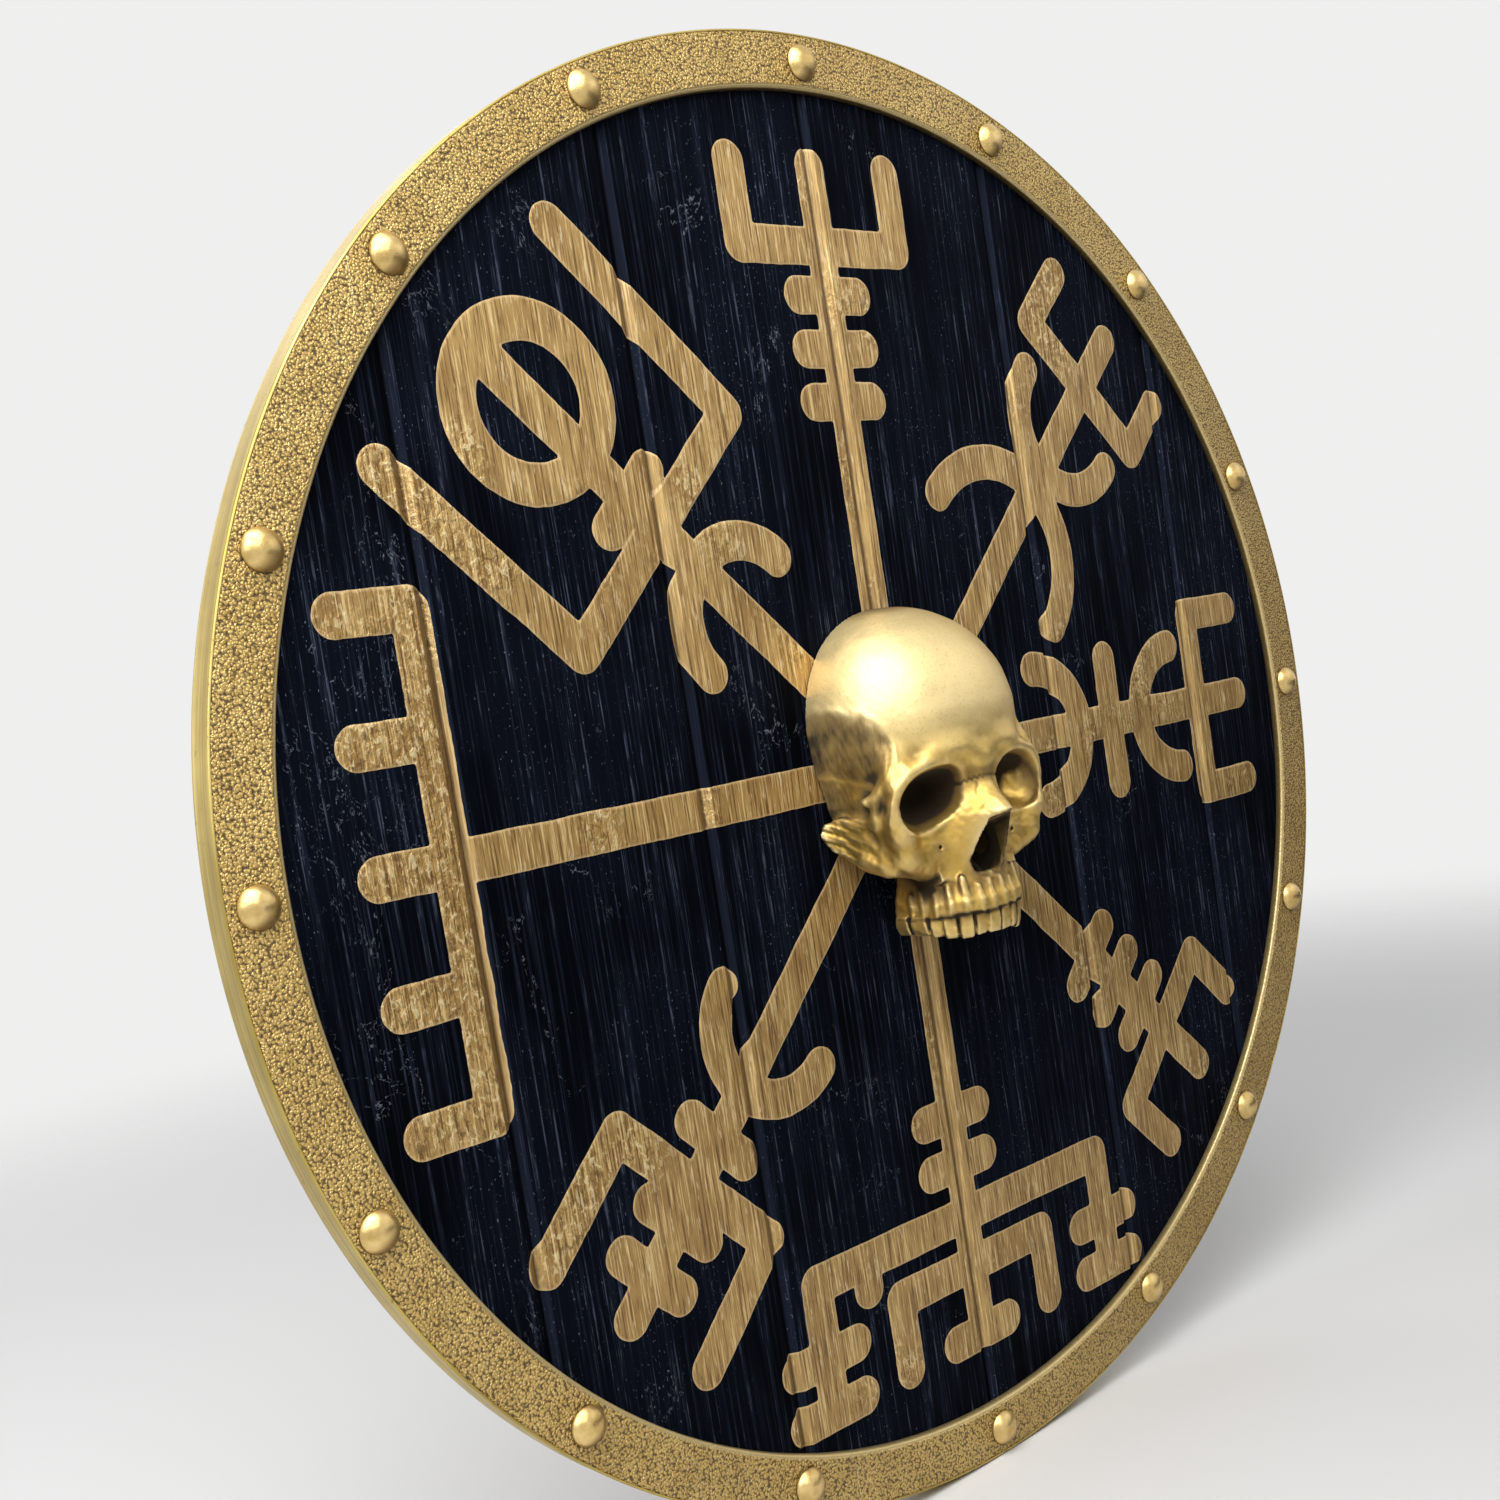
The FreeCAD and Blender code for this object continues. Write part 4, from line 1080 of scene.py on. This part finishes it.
def upper_jaw(side, off, up):
    """The jaw's body, rounded in front and cut off square above, below and behind."""
    power = 2.7
    ahead = np.maximum(off - 15, 0) / (maxilla_off(up) - 15)
    round_off = ((side / maxilla_half(up)) ** power + ahead ** power) ** (1 / power)
    body = (round_off - 1) * 20
    ends = np.maximum(np.maximum(-61.3 - up, up + 12), 10.5 - off)
    return -blended(-body, -ends, 2.2)


arch_out = drawn([-2, 0, 5, 10, 18, 27, 34], [51.6, 51.3, 48.8, 47.4, 46.2, 44.4, 41.0])
arch_top = drawn([-2, 0, 2, 6, 12, 20, 27, 34], [-18.4, -18.2, -16.2, -14.8, -15.2, -15.8, -15.4, -14])
arch_low = drawn([-2, 0, 2, 5, 10, 18, 27, 34], [-23.4, -23.8, -26.6, -29.8, -33.2, -37.4, -40.2, -40.6])


def cheek_arch(side, off, up):
    """The root of the cheek's arch, back to the boards, layered and broken off raggedly."""
    worn = np.clip(1 - off / 30, 0.1, 1)
    layer = up + 0.52 * off
    ragged = worn * (0.42 * np.sin(layer * 1.3 + 1.1 * np.sin(off * 0.55))
                     + 0.26 * np.sin(layer * 2.9 - off * 0.35))
    outer = side - arch_out(off) + 0.6 + ragged
    tall = np.maximum(up - arch_top(off), arch_low(off) - up) + ragged * 0.5
    body = -blended(-outer, -tall, 2.2)
    return np.maximum(body, off - 31)


nose_apex = drawn([-48, -44, -40, -36, -30, -25, -21, -16, -12, -6.6, -3, 2],
                  [42.6, 44.4, 48, 52, 56, 58.6, 59.8, 55.4, 51.6, 47.6, 46.6, 46])
nose_base = drawn([-48, -44, -36, -28, -20, -12, -4, 2], [13, 14, 14.8, 14.2, 13.2, 13.4, 14.5, 15])


def nose_pyramid(side, off, up):
    """The nasal bones and the plates beside them: a rounded roof that juts out to its tip."""
    away = (np.sqrt(side ** 2 + 6.25) - 2.5) / nose_base(up)
    front = 40 + (nose_apex(up) - 40) * (1 - np.minimum(away, 1.4) ** 1.1)
    return np.maximum(np.maximum((off - front) * 0.72, np.maximum(up + 1, -46.5 - up) * 0.8), 30 - off)


nose_half = drawn([-48, -46.8, -44, -40, -36, -30, -26, -22], [0.5, 4.6, 8.2, 9.9, 9.6, 8.2, 6.8, 5.6])


def nose_opening(side, off, up):
    """The pear-shaped opening under the nose bones."""
    gap = (side - nose_half(up)) * 0.85
    roof = up + 21.2 + (59.6 - off) * 0.30
    return np.maximum(np.maximum(gap, -47.5 - up), np.maximum(roof, 24 - off))


def tooth(place, width, length, thick):
    """One tooth: its middle, turn and sizes; the crown is widest a third of the way up."""
    middle_side, middle_off, turn = place
    gum = -59.0

    def gap(side, off, up):
        a = (side - middle_side) * math.cos(turn) + (off - middle_off) * math.sin(turn)
        b = (off - middle_off) * math.cos(turn) - (side - middle_side) * math.sin(turn)
        share = np.clip((gum - up) / length, 0, 1)
        half = width * (0.435 + 0.065 * np.sin(math.pi * np.clip(share * 0.9, 0, 1)))
        deep = thick * (0.42 + 0.14 * np.sin(math.pi * share) - 0.20 * share ** 2)
        edge = 0.9
        qa = np.abs(a) - half + edge
        qb = np.abs(b) - deep + edge
        qc = np.abs(up - (gum - length / 2)) - length / 2 + edge
        outside = np.sqrt(np.maximum(qa, 0) ** 2 + np.maximum(qb, 0) ** 2 + np.maximum(qc, 0) ** 2)
        return outside + np.minimum(np.maximum(np.maximum(qa, qb), qc), 0) - edge

    return gap


def jaw_arch(steps):
    """The line along the teeth's middles on one side, from the front teeth back."""
    power = 2.5
    arch = []
    for step in range(steps + 1):
        angle = quarter_turn * step / steps
        side = 24.6 * math.sin(angle) ** (2 / power)
        arch.append((side, 14 + 30.2 * math.cos(angle) ** (2 / power)))
    return arch


def tooth_places(rng):
    """Each side's teeth along the arch, from the middle back: width, length and thickness."""
    kinds = ((6.8, 13.2, 4.4), (5.6, 12.0, 4.2), (6.3, 13.4, 5.0), (5.7, 11.9, 5.6),
             (5.5, 11.4, 5.8), (8.0, 11.0, 7.0), (7.4, 10.2, 6.6))
    steps = 800
    arch = jaw_arch(steps)
    travelled = [0.0]
    for (s0, o0), (s1, o1) in zip(arch, arch[1:]):
        travelled.append(travelled[-1] + math.hypot(s1 - s0, o1 - o0))
    for hand in (-1, 1):
        reach = 0.0
        for width, length, thick in kinds:
            middle = reach + width / 2
            reach += width + 0.2
            number = min(range(steps), key=lambda step: abs(travelled[step] - middle))
            (s0, o0), (s1, o1) = arch[number], arch[number + 1]
            turn = math.atan2(o1 - o0, s1 - s0) + rng.uniform(-0.2, 0.2)
            place = (s0 + rng.uniform(-0.3, 0.3), o0 + rng.uniform(-0.9, 0.3), turn)
            yield hand, place, width * rng.uniform(0.94, 1.05), length + rng.uniform(-1.9, 0.1), thick


def add_teeth(carving):
    """Adds each tooth by itself, so that the two sides differ."""
    rng = np.random.default_rng(11)
    spare = 7
    for hand, place, width, length, thick in tooth_places(rng):
        middle, off_boards = hand * place[0], place[1]
        cuts, (across, off, up) = carving.part((middle - spare, off_boards - spare, -74),
                                               (middle + spare, off_boards + spare, -52))
        gap = tooth(place, width, length, thick)(hand * across, off, up)
        carving.field[cuts] = blended(carving.field[cuts], gap.astype(np.float32), 0.35)


def add_roots(carving):
    """The upright swellings over the teeth's roots, each its own height."""
    roots = ((3.4, 44.9, 1.9, -48.5), (9.2, 44.4, 1.6, -50.0), (15.4, 41.6, 2.1, -46.0),
             (20.4, 37.6, 1.7, -49.0), (23.6, 32.4, 1.6, -50.5), (25.2, 26.6, 1.5, -49.5),
             (25.6, 21.0, 1.7, -51.5))
    for side, off, width, top in roots:
        carving.add_bone([(side, off + 0.4, -60.5, width * 0.75), (side * 0.99, off + 0.6, -56.0, width),
                          (side * 0.97, off - 0.6, top, width * 0.7)], 1.1)


def carve_skull(pitch):
    """The whole skull, bone by bone; each step names its shape, its two corners and its run-out."""
    carving = Carving((-54.3, -2.25 * pitch, -75.2), (54.3, 62.0, 70.5), pitch)
    carving.add(cranium, (0, -9, -80), (60, 70, 80), 0.5)
    # shallow hollows of the temples
    carving.cut_egg((56.0, 14.0, -11.0), (15.0, 14.0, 19.0), (0, -9, -40), (60, 42, 20), 6.0)
    carving.cut_egg((64.5, 20.0, 10.0), (18.5, 24.0, 22.0), (0, -9, -30), (60, 45, 36), 6.0)
    carving.add(upper_jaw, (0, -5, -66), (34, 52, -2), 5.0)
    # brow and the ridge between the eyes
    carving.add_egg((13.0, 41.6, 6.6), (14.0, 7.6, 5.0), (0, 28, -8), (34, 56, 20), 6.0)
    carving.add_egg((0, 41.6, 1.4), (10.0, 7.8, 6.5), (0, 28, -12), (20, 56, 16), 6.0)
    carving.add_bone([(12, 43.8, -0.2, 2.6), (19, 44.2, 2.6, 2.7), (28, 42.2, 2.7, 2.8),
                      (36, 39.4, 0.4, 2.9), (41.0, 37.0, -4.8, 2.8)], 3.6)
    # pillar beside the socket: a rounded front edge and a thinner back edge with its knob
    carving.add_bone([(41.0, 37.0, -4, 2.8), (42.2, 36.4, -11, 2.8), (41.4, 35.2, -18, 3.4),
                      (39.6, 35.0, -24, 4.8)], 2.8)
    carving.add_egg((34.5, 32.0, 2.5), (7.0, 7.0, 8.5), (18, 18, -12), (50, 46, 18), 6.0)
    carving.add_bone([(36.0, 34.6, 6.0, 2.2), (39.4, 33.6, -0.5, 2.9), (42.6, 30.6, -5, 2.7),
                      (43.8, 28.0, -11, 2.8), (43.0, 27.0, -19, 3.6)], 5.0)
    carving.add_bone([(43.6, 29.5, -7.4, 2.8), (46.4, 25.2, -9.2, 2.1)], 1.6)
    # cheek, its arch and the arch's notch
    carving.add_egg((22, 29.5, -31.5), (17.0, 9.6, 13.0), (0, 12, -50), (46, 44, -12), 4.0)
    carving.add_bone([(40.4, 35.8, -17, 3.8), (39.0, 35.2, -24, 5.2), (36.2, 33.0, -32, 6.0),
                      (31.5, 31.6, -36.6, 5.4), (25.0, 31.2, -39.5, 5.0)], 4.0)
    carving.add_bone([(36.5, 32.6, -34.5, 5.4), (41.2, 27.0, -36.4, 3.5), (44.0, 18, -33.5, 3.0)], 4.0)
    carving.add(cheek_arch, (0, -5, -46), (56, 40, -8), 3.0)
    carving.cut_bone([(47.8, 17, -19.5, 1.6), (45.4, 24, -22.5, 1.5), (44.4, 26, -27, 0.8)],
                     (36, 10, -32), (52, 32, -14), 1.0)
    carving.add(nose_pyramid, (0, 24, -52), (22, 64, 4), 4.0)
    # eye sockets
    carving.add_egg((29, 19, -10), (14.0, 19.0, 15.0), (8, -5, -32), (50, 44, 12), 4.0)
    carving.add(socket_rim, (0, 24, -34), (50, 54, 12), 3.0)
    carving.cut(eye_socket, (0, 4, -36), (50, 64, 10), 1.4)
    # nose opening, its floor and the thin bones inside
    carving.cut(nose_opening, (0, 20, -50), (14, 66, -16), 1.3)
    carving.cut_egg((0, 29.5, -35), (11.6, 11.5, 12.5), (0, 14, -50), (16, 46, -15), 0.6)
    carving.add_bone([(0, 33, -47.6, 2.6), (0, 38, -47.8, 2.2), (0, 42.2, -46.6, 1.3)], 2.0)
    carving.add_bone([(0.5, 19, -45, 1.0), (0.3, 24, -38, 0.9), (0.0, 29, -30, 0.8), (0, 38, -23, 0.8)], 0.8)
    carving.add_bone([(0.0, 37, -45, 1.0), (0.4, 30, -39, 0.9), (0.5, 22, -34, 0.9)], 1.2)
    carving.add_bone([(8.6, 38.2, -44.6, 1.5), (4.6, 40.6, -46.6, 1.4), (0.5, 42.0, -47.2, 1.5)], 1.2)
    # small holes under the sockets, hollow beside the dog teeth, free space under the cheek
    carving.cut_bone([(22.5, 43, -33.0, 1.0), (21.5, 36, -31.5, 0.6)], (12, 30, -38), (27, 50, -24), 1.2)
    carving.cut_egg((20.5, 48.0, -41.5), (7.5, 9.5, 7.0), (8, 30, -54), (34, 60, -28), 5.0)
    carving.cut_egg((34.5, 16.0, -46.0), (9.5, 14.0, 9.0), (20, -5, -58), (50, 34, -33), 3.0)
    add_roots(carving)
    # the arch inside the teeth, the teeth, and a narrow base behind the jaw that reaches the boards
    carving.cut_egg((0, 20, -67.5), (14.5, 19.0, 11), (0, -5, -80), (18, 44, -52), 1.5)
    add_teeth(carving)
    carving.add_egg((0, 4, -36), (15, 16, 17), (0, -9, -60), (22, 26, -12), 4.0)
    carving.field = np.maximum(carving.field, -carving.lines[1][None, :, None]).astype(np.float32)
    return carving


def largest_piece(points, faces):
    """Leaves out any crumb that isn't joined to the main body."""
    group = np.arange(len(points))
    for _ in range(400):
        low = group[faces].min(axis=1)
        before = group.copy()
        for corner in range(4):
            np.minimum.at(group, faces[:, corner], low)
        group = group[group]
        if np.array_equal(before, group):
            break
    names, sizes = np.unique(group, return_counts=True)
    kept = group == names[np.argmax(sizes)]
    renumber = np.cumsum(kept) - 1
    return points[kept], renumber[faces[kept[faces[:, 0]]]]


def point_normals(points, faces):
    across = points[faces[:, 2]] - points[faces[:, 0]]
    down = points[faces[:, 3]] - points[faces[:, 1]]
    facing = np.cross(across, down)
    total = np.zeros_like(points)
    for corner in range(4):
        np.add.at(total, faces[:, corner], facing)
    return total / np.maximum(np.linalg.norm(total, axis=1, keepdims=True), 1e-9)


def shut_in(carving, points, normals):
    """How far the skull's own forms close in on each place."""
    shut = np.zeros(len(points))
    for reach, weight in ((2.0, 0.20), (4.5, 0.24), (9.0, 0.22), (16.0, 0.14)):
        shut += weight * np.clip(1 - carving.at(points + normals * reach) / reach, 0, 1)
    # looking up and out from each place, so that places under an overhang come out darker: painted shade
    for reach in (7.0, 14.0):
        over = carving.at(points + (normals * 0.6 + (0, 0.1, 0.8)) * reach)
        shut += 0.16 * np.clip(1 - over / (0.7 * reach), 0, 1)
    return shut


def temple_patch(points, wander):
    """The dark patch on the temple, and the raised line that bounds it above."""
    side, off, up = np.abs(points[:, 0]), points[:, 1], points[:, 2]
    line = drawn([0, 12, 20, 26, 31, 34, 36.5, 38, 40],
                 [28.5, 28.2, 27.4, 26.2, 23.5, 19.5, 13.5, 7, -2])(off) + wander
    low = drawn([0, 16, 29, 33, 38.8], [3, -0.5, -5, -2, 3])(off) + wander
    outer = share_of(side - 27, 4)
    soft_edge = 4.5 + 6.0 * np.clip(1 - off / 25, 0, 1)
    patch = share_of(line - up, soft_edge) * outer * share_of(39.6 - off, 2)
    patch *= share_of(up - low, 2.5) + 0.7 * share_of(low - up, 2) * share_of(up + 17, 5)
    patch *= np.clip(0.86 + 0.22 * ripples(points, 9.0, 33), 0.3, 1)
    return patch, peak(up - line, 2.0) * outer * (off < 39)


def bone_joints(points):
    """The joints between the bones over and beside the nose, as fine grooves."""
    side, off, up = np.abs(points[:, 0]), points[:, 1], points[:, 2]
    zig = -6.3 + 1.0 * (2 * np.abs((points[:, 0] * 0.42) % 1 - 0.5) - 0.5) - 0.012 * side ** 2
    joint = peak(up - zig, 0.6) * (side < 11.5) * (off > 38)
    beside = 5.4 + 0.7 * np.sin(up * 0.9) + (np.minimum(up, -8) + 8) * -0.10
    return joint + 0.6 * peak(side - beside, 0.5) * (up < -7.5) * (up > -21.5) * (off > 44)


def patina_and_shade(points, shut, joint, wander):
    """Where the skull darkens: patina in closed places, in the joints and along the gum, painted shade deep in
    the sockets, in the nose opening and under overhangs, painted light that keeps each socket's outer wall
    paler, and the root of the cheek arch kept a little lighter.
    """
    side, off, up = np.abs(points[:, 0]), points[:, 1], points[:, 2]
    reach, deep, _ = socket_reach(side, off, up)
    # painted shade deep in each eye socket, heavier toward its top
    in_socket = share_of(deep - 2.0, 8) * share_of(1.22 - reach, 0.12) * (deep < 27)
    # painted light: each socket's outer wall is kept paler
    lit_socket_wall = in_socket * share_of(side - 27, 6) * share_of(-3 - up, 8)
    # painted shade inside the nose opening
    in_nose = (off < 41) * (side < 10.5) * (up > -47) * (up < -19)
    gum_line = peak(up + 60.9 + wander * 0.4, 0.8) * share_of(off - 8, 6)
    arch_root = (side > 42) * share_of(-12 - up, 3) * share_of(24 - off, 6)
    dark = shut + joint * 0.25 + in_socket * (0.75 - 0.25 * share_of(-17 - up, 6)) - lit_socket_wall * 1.05
    return np.clip(dark + in_nose * 0.45 + gum_line * 0.4 - arch_root * 0.16, 0, 1)


def build_skull():
    """The carved skull as a mesh, with its fine unevenness and the numbers its finish reads."""
    pitch = 0.74
    carving = carve_skull(pitch)
    points, faces = largest_piece(*carving.skin())
    points = points.astype(np.float64)
    normals = point_normals(points, faces)
    shut = shut_in(carving, points, normals)
    bulge = carving.at(points, carving.softened(max(2, int(round(3.2 / pitch ** 2)))))
    off, up = points[:, 1], points[:, 2]
    wander = ripples(points, 14.0, 31) * 0.9 + ripples(points, 5.0, 32) * 0.4
    temple, ridge = temple_patch(points, wander)
    joint = bone_joints(points)
    dark = patina_and_shade(points, shut, joint, wander)
    low_face = share_of(-4 - up, 12)
    grain = ripples(points, 12.0, 21) * 0.06 + ripples(points, 3.4, 22) * (0.02 + 0.06 * low_face)
    worn = temple * ripples(points * (1, 1, 0.5), 2.6, 23) * 0.14
    shove = grain + worn + ridge * 0.35 - joint * 0.45 - 0.12
    moved = points + normals * shove[:, None]
    on_back = off < 0.6
    moved[on_back] = points[on_back]
    moved[:, 1] = np.clip(moved[:, 1], 0.0, 59.7)
    placed = np.stack([moved[:, 0], stave_front / millimetre - moved[:, 1], moved[:, 2]], axis=1) * millimetre
    made = mesh_object("skull", placed, faces, skull_gold())
    # patina and painted shade, which the finish reads as hollow
    point_values(made, "hollow", dark)
    # where the skull bulges out, for the finish's painted highlight
    point_values(made, "crest_highlight", np.clip(bulge / 0.8, 0, 1))
    point_values(made, "temple", temple)
    return made


skull = build_skull()
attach(skull, "shield")
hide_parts("skull_boss")


# ---------------------------------------------------------------- floor, world, lamps, camera
def studio_floor():
    """A pale floor under the shield that fades into the background, darker in the light it throws back."""
    finish = Finish("studio_floor", Roughness=0.9, Specular_IOR_Level=0.1)
    x, y, _ = finish.axes()
    away = (x * x + y * y) ** 0.5
    shade = finish.cloud(finish.place, 2.0, 1.0)
    pale = finish.blend(shade, (0.86, 0.86, 0.855), (0.87, 0.87, 0.868))
    finish.done(Base_Color=finish.blend(finish.looked_at(), (0.36, 0.36, 0.355), pale))
    solid, clear = Wire(finish, finish.shader.outputs[0]), finish.node("ShaderNodeBsdfTransparent")
    fading = finish.node("ShaderNodeMixShader", None, {0: away.between(0.6, 1.5), 1: solid, 2: clear})
    finish.tree.links.new(fading.socket, finish.tree.nodes["Material Output"].inputs["Surface"])
    level = -shield_radius - 0.5 * millimetre
    corners = [(x * 1.6, y * 1.6, level) for x, y in ((-1, -1), (1, -1), (1, 1), (-1, 1))]
    made = mesh_object("floor", corners, [(0, 1, 2, 3)], finish.material, smooth=False)


def pale_world():
    """Plain pale all round; softer on the object than it looks behind it."""
    world = bpy.data.worlds.new("pale_studio")
    bpy.context.scene.world = world
    world.use_nodes = True
    sky = Tree(world.node_tree)
    colour = sky.blend(sky.looked_at(), (0.125, 0.126, 0.13), (0.863, 0.863, 0.86))
    sky.tree.links.new(colour.socket, sky.tree.nodes["Background"].inputs["Color"])


def softbox(name, direction, distance, width, height, level):
    """A square lamp aimed at the shield; a level of 1 alone shows a colour as it is written."""
    lamp = bpy.data.lights.new(name, "AREA")
    lamp.shape = "RECTANGLE"
    lamp.size, lamp.size_y = width, height
    lamp.energy = level * math.pi ** 2 * distance ** 2
    made = bpy.data.objects.new(name, lamp)
    toward = Vector(direction).normalized()
    made.location = toward * distance
    made.rotation_euler = toward.to_track_quat("Z", "Y").to_euler()
    made.visible_camera = False
    bpy.context.scene.collection.objects.link(made)


def dark_card(direction, distance, width, height):
    """A dark card beside the camera, seen only in the gilding's gloss, so that the metal has depth."""
    finish = Finish("card_felt", Roughness=1.0, Specular_IOR_Level=0.0)
    nap = finish.cloud(finish.place, 300, 2.0)
    felt = finish.blend(nap, (0.10, 0.085, 0.065), (0.13, 0.112, 0.085))
    toward = Vector(direction).normalized()
    across = toward.cross(Vector((0, 0, 1))).normalized() * width / 2
    upward = across.cross(toward).normalized() * height / 2
    corners = [toward * distance + across * x + upward * y for x, y in ((-1, -1), (1, -1), (1, 1), (-1, 1))]
    made = mesh_object("dark_card", corners, [(0, 1, 2, 3)], finish.done(Base_Color=felt), smooth=False)
    made.visible_camera = made.visible_shadow = made.visible_diffuse = made.visible_transmission = False


def photo_camera():
    """The photograph's place, turn and lens."""
    turn, rise, roll = (math.radians(angle) for angle in (-40.03, 4.57, -8.91))
    back = Vector((math.sin(turn) * math.cos(rise), -math.cos(turn) * math.cos(rise), math.sin(rise)))
    right = (-back).cross(Vector((0, 0, 1))).normalized()
    up = right.cross(-back).normalized()
    across = math.cos(roll) * right + math.sin(roll) * up
    upward = -math.sin(roll) * right + math.cos(roll) * up
    data = bpy.data.cameras.new("camera")
    data.lens, data.sensor_width = 41.123, 36.0
    data.shift_x, data.shift_y = -0.00776, 0.0405
    data.clip_start = 0.01
    made = bpy.data.objects.new("camera", data)
    matrix = Matrix((across, upward, back)).transposed().to_4x4()
    matrix.translation = Vector((-0.5158, -0.5812, 0.0487))
    made.matrix_world = matrix
    bpy.context.scene.collection.objects.link(made)
    bpy.context.scene.camera = made


studio_floor()
pale_world()
for lamp in (
    ("key", (-0.50, -0.47, 0.73), 1.05, 1.0, 1.0, 1.02),
    ("left_lamp", (-0.85, -0.30, 0.43), 1.5, 0.5, 0.8, 0.14),
    ("top_lamp", (-0.28, -0.06, 0.96), 1.3, 1.2, 0.8, 0.42),
    ("rear_left", (-0.76, 0.56, 0.32), 1.4, 0.8, 0.9, 0.10),
    ("rear", (0.12, 0.88, 0.45), 1.5, 1.1, 1.0, 0.22),
    ("right_high", (0.60, -0.60, 0.53), 1.3, 1.0, 0.6, 0.05),
):
    softbox(*lamp)
dark_card((0.66, -0.60, -0.45), 1.1, 1.8, 1.1)
photo_camera()

bpy.context.view_layer.update()
bpy.context.scene.view_settings.view_transform = "Standard"
